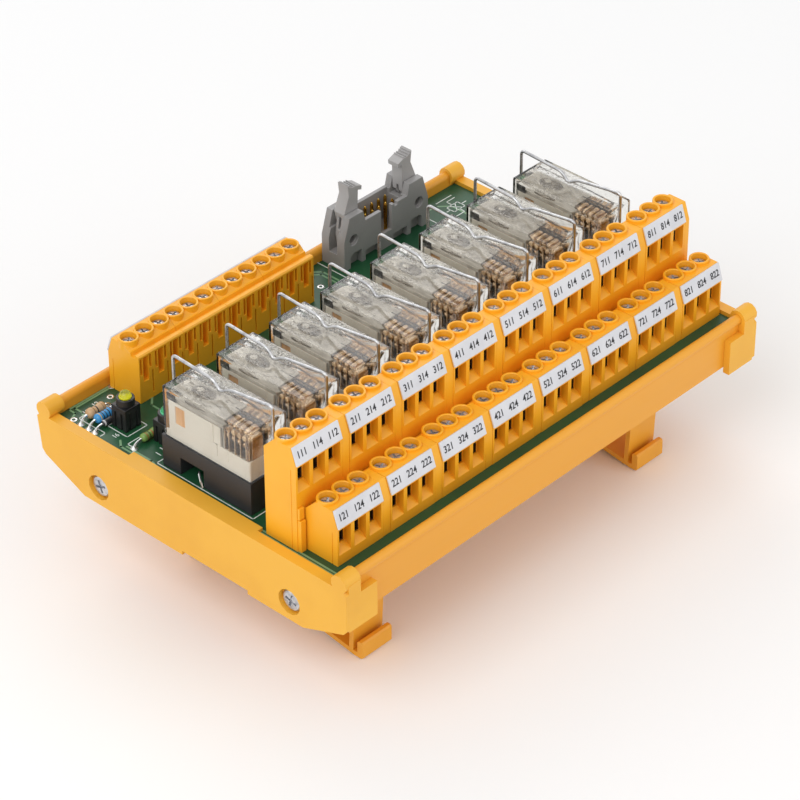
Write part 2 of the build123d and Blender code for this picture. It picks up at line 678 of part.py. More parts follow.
def leaded(x, y, start, length, r):
    """Axial part along X with leads bent down to the board, first pad at x."""
    z = BOARD_TOP + r + LEAD_R
    body = facet(Plane(origin=(x + start, y, z), z_dir=(1, 0, 0)), r, length, SMALL_SIDES)
    end = x + LEAD_PITCH
    path = Polyline((x, y, BOARD_TOP), (x, y, z), (end, y, z), (end, y, BOARD_TOP))
    section = Plane(origin=path @ 0, z_dir=path % 0) * RegularPolygon(LEAD_R, 4)
    return joined(body, sweep(section, path=path, transition=Transition.RIGHT))


def leaded_components():
    """Three parts beside the supply lamp and one behind each relay lamp."""
    parts = [leaded(FIRST_X, y, start, length, r) for y, start, length, r in SUPPLY_PARTS]
    start, length, r = RELAY_PART
    y = RELAY_LAMP[1] + HOLDER[1] / 2 + r + 0.25
    return parts + [leaded(FIRST_X + 2.05 + n * GROUP, y, start, length, r) for n in range(GROUPS)]


def main():
    os.makedirs("parts", exist_ok=True)
    write("carrier_profile", carrier_profile())
    near = end_plate()
    write("near_end_plate", near)
    write("far_end_plate", mirror(near, Plane.YZ))
    write("end_plate_screws", *end_plate_screws())
    foot = rail_foot()
    write("near_rail_foot", Pos(-FOOT_X, 0, 0) * foot)
    write("far_rail_foot", Pos(FOOT_X, 0, 0) * foot)
    write("circuit_board", circuit_board())
    write("input_block_row", *[input_block(n) for n in range(INPUT_BLOCKS)])
    write("terminal_screws", *terminal_screws())
    write("marker_strips", *marker_strips())
    cover, socket, bail = relay_cover(), relay_socket(), retaining_bail()
    frame, coil, contacts = relay_frame(), relay_coil(), relay_contacts()
    for n in range(GROUPS):
        write(f"upper_block_{n + 1}", upper_block(n))
        write(f"lower_block_{n + 1}", lower_block(n))
        write(f"relay_cover_{n + 1}", relay_place(n) * cover)
        write(f"relay_socket_{n + 1}", relay_place(n) * socket)
        write(f"retaining_clip_{n + 1}", Pos(RELAY_X + n * GROUP, 0, 0) * bail)
    write("relay_frames", *[relay_place(n) * frame for n in range(GROUPS)])
    write("relay_coils", *[relay_place(n) * coil for n in range(GROUPS)])
    write("relay_contacts", *[relay_place(n) * bank for n in range(GROUPS) for bank in contacts])
    write("header_housing", header_housing())
    near_latch, far_latch = header_latches()
    write("header_latch_near", near_latch)
    write("header_latch_far", far_latch)
    write("header_pins", *header_pins())
    write("led_holders", *led_holders())
    write("status_leds", *status_leds())
    write("leaded_components", *leaded_components())


main()
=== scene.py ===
import math

import bmesh
import bpy
from mathutils import Matrix, Vector


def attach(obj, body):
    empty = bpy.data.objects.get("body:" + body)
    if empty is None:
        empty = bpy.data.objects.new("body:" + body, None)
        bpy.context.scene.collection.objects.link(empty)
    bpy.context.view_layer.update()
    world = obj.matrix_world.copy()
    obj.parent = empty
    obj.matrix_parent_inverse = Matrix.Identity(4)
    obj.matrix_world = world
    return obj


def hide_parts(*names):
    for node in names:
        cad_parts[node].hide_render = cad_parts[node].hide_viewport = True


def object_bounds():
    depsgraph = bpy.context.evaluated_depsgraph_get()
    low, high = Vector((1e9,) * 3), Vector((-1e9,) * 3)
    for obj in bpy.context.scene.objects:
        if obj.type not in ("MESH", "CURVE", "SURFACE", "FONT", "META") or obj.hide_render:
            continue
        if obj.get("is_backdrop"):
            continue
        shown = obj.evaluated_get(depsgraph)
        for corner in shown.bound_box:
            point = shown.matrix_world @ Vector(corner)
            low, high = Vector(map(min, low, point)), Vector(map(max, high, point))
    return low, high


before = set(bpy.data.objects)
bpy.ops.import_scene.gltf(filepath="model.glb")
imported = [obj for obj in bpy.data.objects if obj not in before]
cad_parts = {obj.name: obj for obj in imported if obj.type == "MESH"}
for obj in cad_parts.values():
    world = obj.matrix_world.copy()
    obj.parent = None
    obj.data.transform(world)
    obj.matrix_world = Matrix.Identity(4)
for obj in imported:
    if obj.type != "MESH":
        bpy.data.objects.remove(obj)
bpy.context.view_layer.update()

# Carrier tray: one orange extrusion with a round bead along the top of each
# side wall. It is satin ABS, drawn along its length, cut and fitted with ends.

MM = 0.001
HALF_LENGTH = 75.1
BOARD_TOP = 37.8
TRAY_EDGE = 0.25
SEAM, FLAT = 2e-6, math.radians(0.6)


def srgb(code):
    """Linear colour of a six-digit screen colour."""
    parts = [int(code[k:k + 2], 16) / 255 for k in (0, 2, 4)]
    return (*[c / 12.92 if c <= 0.04045 else ((c + 0.055) / 1.055) ** 2.4 for c in parts], 1.0)


def feed(node, inputs):
    """Gives inputs of a node plain values, or links from other nodes' outputs."""
    for label, value in inputs.items():
        if isinstance(value, bpy.types.NodeSocket):
            node.id_data.links.new(value, node.inputs[label])
        else:
            node.inputs[label].default_value = value
    return node


def new_node(tree, kind, inputs=None, **settings):
    """A new node in a tree, with its settings made before its inputs are fed."""
    node = tree.nodes.new(kind)
    for label, value in settings.items():
        setattr(node, label, value)
    return feed(node, inputs or {})


def bare_material(name):
    """A new material, its node tree and its one shader."""
    mat = bpy.data.materials.new(name)
    mat.use_nodes = True
    return mat, mat.node_tree, mat.node_tree.nodes["Principled BSDF"]


def finish(name, colour, deep, roughness, patch=90.0, grain=1400.0, bump=0.05, metal=0.0,
           stretch=(1, 1, 1)):
    """A finish whose colour drifts a little from patch to patch over a fine grain."""
    mat, tree, shader = bare_material(name)
    place = new_node(tree, "ShaderNodeTexCoord").outputs["Object"]
    turn = new_node(tree, "ShaderNodeMapping", {"Vector": place, "Scale": stretch}).outputs["Vector"]
    drift = new_node(tree, "ShaderNodeTexNoise", {"Vector": turn, "Scale": patch, "Detail": 3})
    spread = new_node(tree, "ShaderNodeMapRange", {
        "Value": drift.outputs["Fac"], "From Min": 0.3, "From Max": 0.6,
    })
    blend = new_node(tree, "ShaderNodeMix", {
        "Factor": spread.outputs["Result"], "A": srgb(deep), "B": srgb(colour),
    }, data_type="RGBA")
    fine = new_node(tree, "ShaderNodeTexNoise", {"Vector": turn, "Scale": grain, "Detail": 2})
    gloss = new_node(tree, "ShaderNodeMapRange", {
        "Value": fine.outputs["Fac"], "To Min": roughness - 0.06, "To Max": roughness + 0.08,
    })
    dent = new_node(tree, "ShaderNodeBump", {
        "Height": fine.outputs["Fac"], "Strength": bump, "Distance": 0.2 * MM,
    })
    feed(shader, {
        "Metallic": metal, "Base Color": blend.outputs["Result"],
        "Roughness": gloss.outputs["Result"], "Normal": dent.outputs["Normal"],
    })
    return mat


def added(mesh, name, *materials):
    """A new object at the origin, with its place in its mesh."""
    obj = bpy.data.objects.new(name, mesh)
    bpy.context.scene.collection.objects.link(obj)
    mesh.materials.clear()
    for mat in materials:
        mesh.materials.append(mat)
    return obj


def settled(obj):
    """The object with its modifiers made part of its mesh."""
    view = bpy.context.evaluated_depsgraph_get()
    view.update()
    mesh = bpy.data.meshes.new_from_object(obj.evaluated_get(view))
    obj.modifiers.clear()
    obj.data = mesh
    return obj


def taken(obj):
    """The mesh of an object that has done its work and is removed."""
    mesh = obj.data
    bpy.data.objects.remove(obj)
    return mesh


def rounded(obj, width, steps=2, angle=34, weighted=False):
    """Rounds the sharp edges of a piece and shades it smooth."""
    for face in obj.data.polygons:
        face.use_smooth = True
    edge = obj.modifiers.new("edge", "BEVEL")
    edge.width = width * MM
    edge.segments = steps
    edge.limit_method = "WEIGHT" if weighted else "ANGLE"
    edge.angle_limit = math.radians(angle)
    edge.miter_outer = "MITER_ARC"
    shade = obj.modifiers.new("shade", "WEIGHTED_NORMAL")
    shade.keep_sharp = True
    return settled(obj)


def carved(mesh, *cutters):
    """A mesh with each cutter taken out of it in turn."""
    obj = added(mesh, "carved")
    tools = []
    for cutter in cutters:
        tool = added(cutter, "cutter")
        tools.append(tool)
        cut = obj.modifiers.new("cut", "BOOLEAN")
        cut.operation = "DIFFERENCE"
        cut.object = tool
        cut.solver = "EXACT"
    settled(obj)
    for tool in tools:
        bpy.data.objects.remove(tool)
    return taken(obj)


def moulding(node, name, mat, width, body="module", shaped=None, steps=2, cutters=()):
    """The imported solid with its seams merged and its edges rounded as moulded."""
    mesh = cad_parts[node].data.copy()
    work = bmesh.new()
    work.from_mesh(mesh)
    bmesh.ops.remove_doubles(work, verts=work.verts, dist=SEAM)
    bmesh.ops.dissolve_limit(work, angle_limit=FLAT, verts=work.verts, edges=work.edges)
    if shaped:
        shaped(work)
    work.to_mesh(mesh)
    work.free()
    if cutters:
        mesh = carved(mesh, *cutters)
    obj = rounded(added(mesh, name, mat), width, steps=steps, weighted=bool(shaped))
    obj.data.materials.clear()
    obj.data.materials.append(mat)
    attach(obj, body)
    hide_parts(node)
    return obj


tray_plastic = finish("tray_plastic", "EDA42C", "E59C28", 0.42, patch=40, grain=900, bump=0.04,
                      stretch=(0.12, 1, 1))
moulding("carrier_profile", "carrier_tray", tray_plastic, TRAY_EDGE)

# End plates: orange mouldings that cap the tray, with a round cap over each
# bead and a tab along each wall. The outer rim is well rounded, the rest less.

BOSS_YS, BOSS_Z, SINK_R = (-33.6, 31.0), 26.3, 3.7
PLATE_CHAMFER, PLATE_ROUND, SLIGHT = 0.5, 1.0, 0.25
CREASE = math.radians(31)
TOUCH = 1e-5

plate_plastic = finish("plate_plastic", "F1B335", "EBAB30", 0.45, patch=60, grain=1600, bump=0.10)


def end_plate_rounding(work):
    """Squares up the outer chamfer, then marks that rim for a wide round and the rest for a slight one."""
    outer, inner = HALF_LENGTH * MM - TOUCH, (HALF_LENGTH - PLATE_CHAMFER) * MM
    for v in work.verts:
        if abs(v.co.x) > outer:
            for edge in v.link_edges:
                other = edge.other_vert(v).co
                if abs(abs(other.x) - inner) < TOUCH:
                    v.co.y, v.co.z = other.y, other.z
                    break
    bmesh.ops.dissolve_limit(work, angle_limit=FLAT, verts=work.verts, edges=work.edges)
    weight = work.edges.layers.float.new("bevel_weight_edge")
    for edge in work.edges:
        if len(edge.link_faces) != 2 or edge.calc_face_angle(0) < CREASE:
            continue
        middle = (edge.verts[0].co + edge.verts[1].co) / 2
        rim = all(abs(v.co.x) > outer for v in edge.verts)
        sink = any(math.hypot(middle.y / MM - y, middle.z / MM - BOSS_Z) < SINK_R for y in BOSS_YS)
        edge[weight] = 1.0 if rim and not sink else SLIGHT


for side in ("near", "far"):
    moulding(f"{side}_end_plate", f"{side}_end_cap", plate_plastic, PLATE_ROUND, steps=3,
             shaped=end_plate_rounding)

# End plate screws: four zinc-plated pan heads with a cross, sunk in the plates
# and driven into the bosses along the tray. Each stops at its own angle.

SINK, HEAD_R, HEAD_T = 1.6, 3.0, 1.0
SHANK_R, SHANK_LENGTH = 1.2, 11.4
FIRST_TURN, TURN_BY_Y = 0.5, 0.35
# how far a cutter reaches past the face that it cuts
OVER = 1

zinc = finish("bright_zinc", "D2D2D5", "ACADB1", 0.33, patch=700, grain=2600, bump=0.15, metal=0.85)


def as_mesh(work, name):
    """The working mesh as a finished one."""
    mesh = bpy.data.meshes.new(name)
    work.to_mesh(mesh)
    work.free()
    return mesh


def at(x, y, z=0.0):
    """The place at a point in millimetres."""
    return Matrix.Translation(Vector((x, y, z)) * MM)


def lathed(profile, sides, axis="Z"):
    """A closed turned form over points of radius and height, in millimetres."""
    work = bmesh.new()
    turn = [2 * math.pi * k / sides for k in range(sides)]
    rings = []
    for r, h in profile:
        places = [(r * math.cos(a), r * math.sin(a)) for a in turn] if r else [(0, 0)]
        rings.append([work.verts.new((x * MM, y * MM, h * MM)) for x, y in places])
    for low, high in zip(rings, rings[1:]):
        for k in range(sides):
            n = (k + 1) % sides
            corners = [low[k % len(low)], low[n % len(low)], high[n % len(high)], high[k % len(high)]]
            unique = list(dict.fromkeys(corners))
            if len(unique) > 2:
                work.faces.new(unique)
    if len(rings[0]) > 1:
        work.faces.new(list(reversed(rings[0])))
    if len(rings[-1]) > 1:
        work.faces.new(rings[-1])
    bmesh.ops.recalc_face_normals(work, faces=work.faces)
    if axis == "X":
        bmesh.ops.rotate(work, verts=work.verts, matrix=Matrix.Rotation(math.pi / 2, 3, "Y"))
    return as_mesh(work, "turned")


def ring(inner, outer, low, high, ease, sides):
    """A round collar with eased rims, as a closed tube."""
    work = bmesh.new()
    section = [
        (inner, low), (outer, low), (outer, high - ease), (outer - ease, high),
        (inner + ease, high), (inner, high - ease),
    ]
    turn = [2 * math.pi * k / sides for k in range(sides)]
    loops = []
    for a in turn:
        across, along = math.cos(a), math.sin(a)
        loops.append([work.verts.new((r * across * MM, r * along * MM, z * MM)) for r, z in section])
    for here, there in zip(loops, loops[1:] + loops[:1]):
        for k in range(len(section)):
            n = (k + 1) % len(section)
            work.faces.new([here[k], there[k], there[n], here[n]])
    bmesh.ops.recalc_face_normals(work, faces=work.faces)
    return as_mesh(work, "ring")


def boxes(*limits):
    """One mesh of plain boxes given by their limits in millimetres."""
    work = bmesh.new()
    for x0, x1, y0, y1, z0, z1 in limits:
        made = bmesh.ops.create_cube(work, size=1)["verts"]
        size = Matrix.Diagonal((abs(x1 - x0) * MM, abs(y1 - y0) * MM, abs(z1 - z0) * MM, 1))
        middle = at((x0 + x1) / 2, (y0 + y1) / 2, (z0 + z1) / 2)
        bmesh.ops.transform(work, matrix=middle @ size, verts=made)
    return as_mesh(work, "boxes")


def merged(*meshes, places=None):
    """Several meshes as one, each at its own place."""
    work = bmesh.new()
    for k, mesh in enumerate(meshes):
        before = len(work.verts)
        work.from_mesh(mesh)
        work.verts.ensure_lookup_table()
        if places:
            bmesh.ops.transform(work, matrix=places[k], verts=work.verts[before:])
    return as_mesh(work, "merged")


def smooth(mesh, angle=40):
    """Shades a mesh smooth up to an angle between faces."""
    for face in mesh.polygons:
        face.use_smooth = True
    mesh.set_sharp_from_angle(angle=math.radians(angle))
    return mesh


def cross_head(radius, thick, depth, arm, width):
    """A pan head with a cross recess, its top at z=thick."""
    head = lathed([(0, 0), (radius, 0), (radius, 0.45 * thick), (0.86 * radius, 0.85 * thick),
                   (0.55 * radius, thick), (0, thick)], 32)
    low, high = thick - depth, thick + OVER
    bars = [(-arm, arm, -width, width, low, high), (-width, width, -arm, arm, low + 0.01, high)]
    return smooth(carved(head, boxes(bars[0]), boxes(bars[1])), 30)


head_mesh = cross_head(HEAD_R, HEAD_T, depth=0.7, arm=1.8, width=0.36)
head_places = []
for s in (-1, 1):
    for y in BOSS_YS:
        facing = Matrix.Rotation(s * math.pi / 2, 4, "Y")
        driven = Matrix.Rotation(FIRST_TURN + TURN_BY_Y * y, 4, "Z")
        head_places.append(at(s * (HALF_LENGTH - SINK), y, BOSS_Z) @ facing @ driven)
shank = lathed([(0, -SHANK_LENGTH), (SHANK_R, -SHANK_LENGTH), (SHANK_R, 0.1), (0, 0.1)], 12)
screws_mesh = merged(*[head_mesh] * 4, *[shank] * 4, places=head_places * 2)
plate_screws = added(smooth(screws_mesh, 30), "end_plate_fixings", zinc)
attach(plate_screws, "module")
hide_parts("end_plate_screws")

# Rail feet: two orange mouldings that slide along the tray's underside. Each
# has a sprung catch in front and a fixed hook behind for the mounting rail.

FOOT_EDGE = 0.3

foot_plastic = finish("foot_plastic", "EFA92E", "E7A02A", 0.44, patch=60, grain=1500, bump=0.07)
for side in ("near", "far"):
    moulding(f"{side}_rail_foot", f"{side}_foot", foot_plastic, FOOT_EDGE)

# Circuit board: glass-epoxy under green resist, which lies darker over bare
# laminate than over copper. The copper tracks are etched, then coated.

BOARD_EDGE = 0.12
INK_T = 0.04
TRACK_W, TRACK_T = 0.55, 0.5 * INK_T
FIRST_X = -70.56
GROUP, GROUPS = 17.78, 8
RELAY_X = FIRST_X + 9.05
RELAYS_X = [RELAY_X + n * GROUP for n in range(GROUPS)]

board_green = finish("board_green", "1C5231", "16432B", 0.42, patch=35, grain=3000, bump=0.02)
moulding("circuit_board", "board_plate", board_green, BOARD_EDGE)


def drawn(lines, width, height):
    """Flat raised lines on the board, from one end point to the next."""
    work = bmesh.new()
    for x0, y0, x1, y1 in lines:
        run = Vector((x1 - x0, y1 - y0, 0))
        made = bmesh.ops.create_cube(work, size=1)["verts"]
        size = Matrix.Diagonal(((run.length + width) * MM, width * MM, height * MM, 1))
        turn = Matrix.Rotation(math.atan2(run.y, run.x), 4, "Z")
        middle = at((x0 + x1) / 2, (y0 + y1) / 2, BOARD_TOP + height / 2)
        bmesh.ops.transform(work, matrix=middle @ turn @ size, verts=made)
    return as_mesh(work, "lines")


def path_lines(*points):
    """The stretches between successive points."""
    return [(*a, *b) for a, b in zip(points, points[1:])]


tracks = path_lines((-71.2, -46.5), (-71.2, 14.0), (-70.2, 18.0), (-70.2, 27.5), (-68.6, 29.4))
tracks += path_lines((-70.3, -46.5), (-70.3, 14.0), (-69.2, 18.0), (-69.2, 26.4))
tracks += path_lines((-69.8, 41.2), (-67.0, 44.4), (-67.0, 47.2), (-52.0, 47.2))
tracks += path_lines((-71.3, 44.2), (-68.4, 45.6), (-68.4, 47.9), (-52.0, 47.9))
tracks += path_lines((8.0, 46.6), (15.0, 46.6), (17.2, 44.4), (17.2, 26.0), (24.0, 19.5))
tracks += path_lines((8.0, 45.4), (14.4, 45.4), (16.0, 43.8), (16.0, 26.0), (8.6, 18.6))
tracks += path_lines((56.0, 44.0), (60.0, 44.0), (63.0, 41.0), (63.0, 24.0))
for x in RELAYS_X:
    tracks += path_lines((x + 5.6, 20.0), (x + 8.2, 22.6), (x + 8.2, 34.4), (x + 10.8, 37.0))
    tracks += path_lines((x + 8.6, -18.0), (x + 8.6, 16.0), (x + 5.8, 18.8))
track_green = finish("coated_copper", "80A67C", "6C9870", 0.4, patch=80, grain=2600, bump=0.02)
copper_lines = added(drawn(tracks, TRACK_W, TRACK_T), "board_tracks", track_green)
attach(copper_lines, "module")

# Printed legend: white epoxy ink outlines, a small circuit sign by the header
# and plain position numbers, screened on to the resist round each part.

SUPPLY_X = FIRST_X + 7.45
LEGEND_W = 0.27
NUMBER_WEIGHT, NUMBER_NARROW = 0.035, 0.86

ink_white = finish("legend_ink", "E8ECE8", "D3DAD4", 0.6, patch=500, grain=3000, bump=0.05)


def outline_lines(x0, x1, y0, y1):
    """The four sides of a rectangle on the board."""
    return path_lines((x0, y0), (x1, y0), (x1, y1), (x0, y1), (x0, y0))


legend = outline_lines(SUPPLY_X - 3.4, SUPPLY_X + 3.3, 29.2, 36.0)
legend += outline_lines(-69.2, -61.0, 37.2, 43.4)
legend += path_lines((-70.6, 34.2), (-69.0, 34.2), (-69.0, 37.0))
legend += outline_lines(HALF_LENGTH - 10.0, HALF_LENGTH - 6.4, 31.2, 34.8)
legend += outline_lines(61.4, 65.6, 38.6, 41.4)
legend += path_lines((60.0, 40.0), (61.4, 40.0))
legend += path_lines((65.6, 40.0), (67.4, 40.0))
legend += path_lines((62.4, 38.6), (64.6, 41.4))
legend += path_lines((64.6, 38.6), (62.4, 41.4))
legend += path_lines((63.5, 41.4), (63.5, 43.4), (66.6, 43.4))
legend += path_lines((63.5, 38.6), (63.5, 36.8), (60.2, 36.8))
legend += path_lines((61.0, 44.8), (66.8, 44.8))
legend += outline_lines(19.4, 54.2, 38.6, 49.6)[1:]
for x in RELAYS_X:
    legend += outline_lines(x - 7.3, x + 7.3, -16.0, 16.4)
    legend += path_lines((x - 8.3, 23.8), (x - 6.9, 23.8), (x - 6.9, 27.0), (x - 1.2, 27.0))
    legend += path_lines((x - 2.6, 17.4), (x - 2.6, 20.2))
    legend += path_lines((x + 4.3, 17.4), (x + 4.3, 24.0), (x + 2.0, 24.0))


def curve_mesh(curve):
    """The shape of a curve or of a number as a mesh."""
    obj = bpy.data.objects.new(curve.name, curve)
    bpy.context.scene.collection.objects.link(obj)
    mesh = bpy.data.meshes.new_from_object(obj.evaluated_get(bpy.context.evaluated_depsgraph_get()))
    bpy.data.objects.remove(obj)
    return mesh


def lettered(words, size, high, place):
    """A plain number as a thin solid, centred on its place."""
    curve = bpy.data.curves.new("number", "FONT")
    curve.body = words
    curve.size = size * MM
    curve.extrude = high * MM
    curve.offset = NUMBER_WEIGHT * MM
    curve.align_x = "CENTER"
    curve.align_y = "CENTER"
    curve.resolution_u = 3
    mesh = curve_mesh(curve)
    mesh.transform(place @ Matrix.Diagonal((NUMBER_NARROW, 1, 1, 1)))
    return mesh


printed = [(str(n + 1), 2.6, x - 4.6, 18.6) for n, x in enumerate(RELAYS_X)]
printed += [("12", 2.4, -62.4, 44.6), ("10", 2.2, -66.2, 43.9)]
printed += [("16", 2.0, -68.0, 31.6), ("24", 2.4, 68.4, 37.0)]
legend_numbers = [lettered(word, size, INK_T, at(x, y, BOARD_TOP)) for word, size, x, y in printed]
board_legend = added(merged(drawn(legend, LEGEND_W, INK_T), *legend_numbers), "board_legend", ink_white)
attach(board_legend, "module")

# Solder lands: tinned rings round the holes and a bright fillet where each
# component lead goes through the board.

LAND_R, LAND_HOLE, LAND_T = 0.95, 0.42, 0.06
LEAD_PITCH = 10.16
LAMP_Y, HOLDER_D = 21.0, 5.0
# y of the leads, then the body's start, length and radius
SUPPLY_PARTS = ((41.3, 2.3, 5.6, 1.2), (38.4, 2.3, 5.6, 1.15), (36.3, 2.6, 3.4, 0.8))
RELAY_PART = (2.6, 5.0, 1.0)
RELAY_PART_DX, RELAY_PART_Y = -7.0, LAMP_Y + HOLDER_D / 2 + RELAY_PART[2] + 0.25

tin = finish("solder_tin", "E4E4E2", "C6C8C8", 0.25, patch=900, grain=2600, bump=0.1, metal=0.85)
lead_rows = [(FIRST_X, y, start, length, r) for y, start, length, r in SUPPLY_PARTS]
lead_rows += [(x + RELAY_PART_DX, RELAY_PART_Y, *RELAY_PART) for x in RELAYS_X]

fillet = lathed([(0, 0), (LAND_R, 0), (0.8, 0.12), (0.42, 0.5), (0.2, 0.75), (0, 0.8)], 20)
land = ring(LAND_HOLE, LAND_R, 0, LAND_T, 0.02, 24)
land_spots = [(-70.4, 44.0), (-57.8, 44.4), (-54.6, 47.3), (12.0, 40.0), (14.0, 31.0)]
land_spots += [(59.4, 31.0), (59.4, 22.5)]
land_spots += [(x + 8.6, y) for x in RELAYS_X[:-1] for y in (-15.0, 8.0)]
fillet_spots = [(x, y) for x, y, *_ in lead_rows] + [(x + LEAD_PITCH, y) for x, y, *_ in lead_rows]
lands = merged(*[fillet] * len(fillet_spots), *[land] * len(land_spots),
               places=[at(x, y, BOARD_TOP) for x, y in fillet_spots + land_spots])
lands = added(smooth(lands, 50), "solder_lands", tin)
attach(lands, "module")

# Terminal rows: orange mouldings of three poles, each pole with a round
# collar over its screw and a funnel over its wire entry. They snap side by side.

POLE = 5.08
BLOCK, BLOCK_GAP = 3 * POLE, 0.06
HIGH_RIM, LOW_RIM = 29.8, 16.1
UPPER_Y, LOWER_Y, LOWER_SHIFT = -26.8, -37.5, 2.26
INPUT_X, INPUT_Y, INPUT_BLOCKS = FIRST_X + 18.21, 42.7, 4
FRONT, BACK, INPUT_FRONT, INPUT_BACK = 5.5, 4.7, 4.9, 6.1
COLLAR_R, COLLAR_RISE, COLLAR_H, HOLE_R = 2.62, 0.8, 1.9, 2.05
CLAMP_LENGTH, CLAMP_DROP = 4.0, 1.2
MARKER_DROP, MARKER_LEAN = 4.6, 1.55
RECESS_TOP, RECESS_DEPTH, RECESS_LENGTH, SILL_RISE = 6.0, 2.3, 8.0, 2.6
DIVIDER, ENTRY_W, ENTRY_H, ENTRY_DEPTH, ENTRY_DROP = 1.2, 3.5, 3.8, 2.6, 1.8
TOP_BACK, LEDGE_DROP = 1.2, 2.6
PARTING_Y, PARTING_W, PARTING_DEPTH, PARTING_TOP = 1.5, 0.22, 0.14, 7.0
# left and right of a pole, then depth, foot and head below the rim
BACK_SLOTS = (
    (-0.7, 1.1, 2.1, 10.2, 3.1), (1.4, 2.1, 1.7, 8.0, 3.1),
    (-1.7, -1.0, 1.7, 6.9, 3.1), (-2.2, -1.8, 1.6, 14.6, 8.0),
)
RIB, END_RIB, BLOCK_EDGE = 2.48, 1.7, 0.16
LUG_XS, LUG_LOW, LUG_HIGH = (0.2, 1.9), (0.05, 9.0), (9.2, 12.4)
LUG_OUT, LUG_HIGH_OUT, LUG_LAP, LUG_EDGE = 1.1, 0.7, 0.1, 0.12
HALF_TURN = Matrix.Rotation(math.pi, 4, "Z")

block_plastic = finish("terminal_plastic", "FBB325", "F5AB1B", 0.38, patch=70, grain=1500, bump=0.06)


def prisms(outline, spans):
    """Prisms along X over one outline of Y and Z, in millimetres."""
    work = bmesh.new()
    for low, high in spans:
        near = [work.verts.new((low * MM, y * MM, z * MM)) for y, z in outline]
        far = [work.verts.new((high * MM, y * MM, z * MM)) for y, z in outline]
        work.faces.new(near)
        work.faces.new(list(reversed(far)))
        for k in range(len(outline)):
            n = (k + 1) % len(outline)
            work.faces.new([near[n], near[k], far[k], far[n]])
    bmesh.ops.recalc_face_normals(work, faces=work.faces)
    return as_mesh(work, "prisms")


def eased(mesh, width, steps=2, angle=34):
    """A mesh with its sharp edges rounded."""
    return taken(rounded(added(mesh, "eased"), width, steps, angle))


def block_side(rim, front, back, ledged=False):
    """The outline of a block from its end, with the label's slant in front and a ledge behind if asked."""
    shoulder = rim - COLLAR_RISE
    side = [(back, 0), (-front, 0), (-front, shoulder - MARKER_DROP), (-front + MARKER_LEAN, shoulder)]
    if not ledged:
        return side + [(TOP_BACK, shoulder), (back, shoulder - (back - TOP_BACK))]
    ledge = rim - LEDGE_DROP
    return side + [
        (1.4, shoulder), (2.8, ledge + 0.5), (3.2, ledge + 0.5), (3.4, ledge - 0.6),
        (back - 1.5, ledge - 0.6), (back - 1.3, ledge + 0.4), (back - 0.3, ledge + 0.4), (back, ledge),
    ]


def terminal_body(rim, width, front, back, ledged=False):
    """Three poles from the board up, left face at x=0, poles on y=0, wire side at -Y."""
    poles = [POLE * (k + 0.5) for k in range(3)]
    half = (POLE - DIVIDER) / 2
    top = rim - RECESS_TOP
    low, high = top - RECESS_LENGTH, top - ENTRY_DROP
    mouth = -front + RECESS_DEPTH
    funnel = [(-front - OVER, top), (mouth, top), (mouth, low + SILL_RISE), (-front - OVER, low)]
    cuts = [prisms(funnel, [(x - half, x + half) for x in poles])]
    entry = ENTRY_W / 2
    cuts.append(boxes(*[
        (x - entry, x + entry, mouth - 0.4, mouth + ENTRY_DEPTH, high - ENTRY_H, high) for x in poles
    ]))
    floor_z = rim - CLAMP_DROP - CLAMP_LENGTH
    bore = lathed([(0, floor_z), (HOLE_R, floor_z), (HOLE_R, rim + OVER), (0, rim + OVER)], 32)
    spots = [at(x, 0) for x in poles]
    cuts.append(merged(bore, bore, bore, places=spots))
    parting = (-front + PARTING_Y, -front + PARTING_Y + PARTING_W, -OVER, rim - PARTING_TOP)
    cuts.append(boxes((-OVER, PARTING_DEPTH, *parting), (width - PARTING_DEPTH, width + OVER, *parting)))
    if ledged:
        cuts.append(boxes(*[
            (x + left, x + right, back - deep, back + OVER, rim - foot, rim - head)
            for left, right, deep, foot, head in BACK_SLOTS for x in poles
        ]))
    block = prisms(block_side(rim, front, back, ledged), [(0, width)])
    body = eased(carved(block, *cuts), BLOCK_EDGE, angle=30)
    collar_foot = rim - (LEDGE_DROP if ledged else COLLAR_H)
    collar = smooth(ring(HOLE_R - 0.02, COLLAR_R, collar_foot, rim, 0.14, 36), 40)
    return merged(body, collar, collar, collar, places=[Matrix()] + spots)


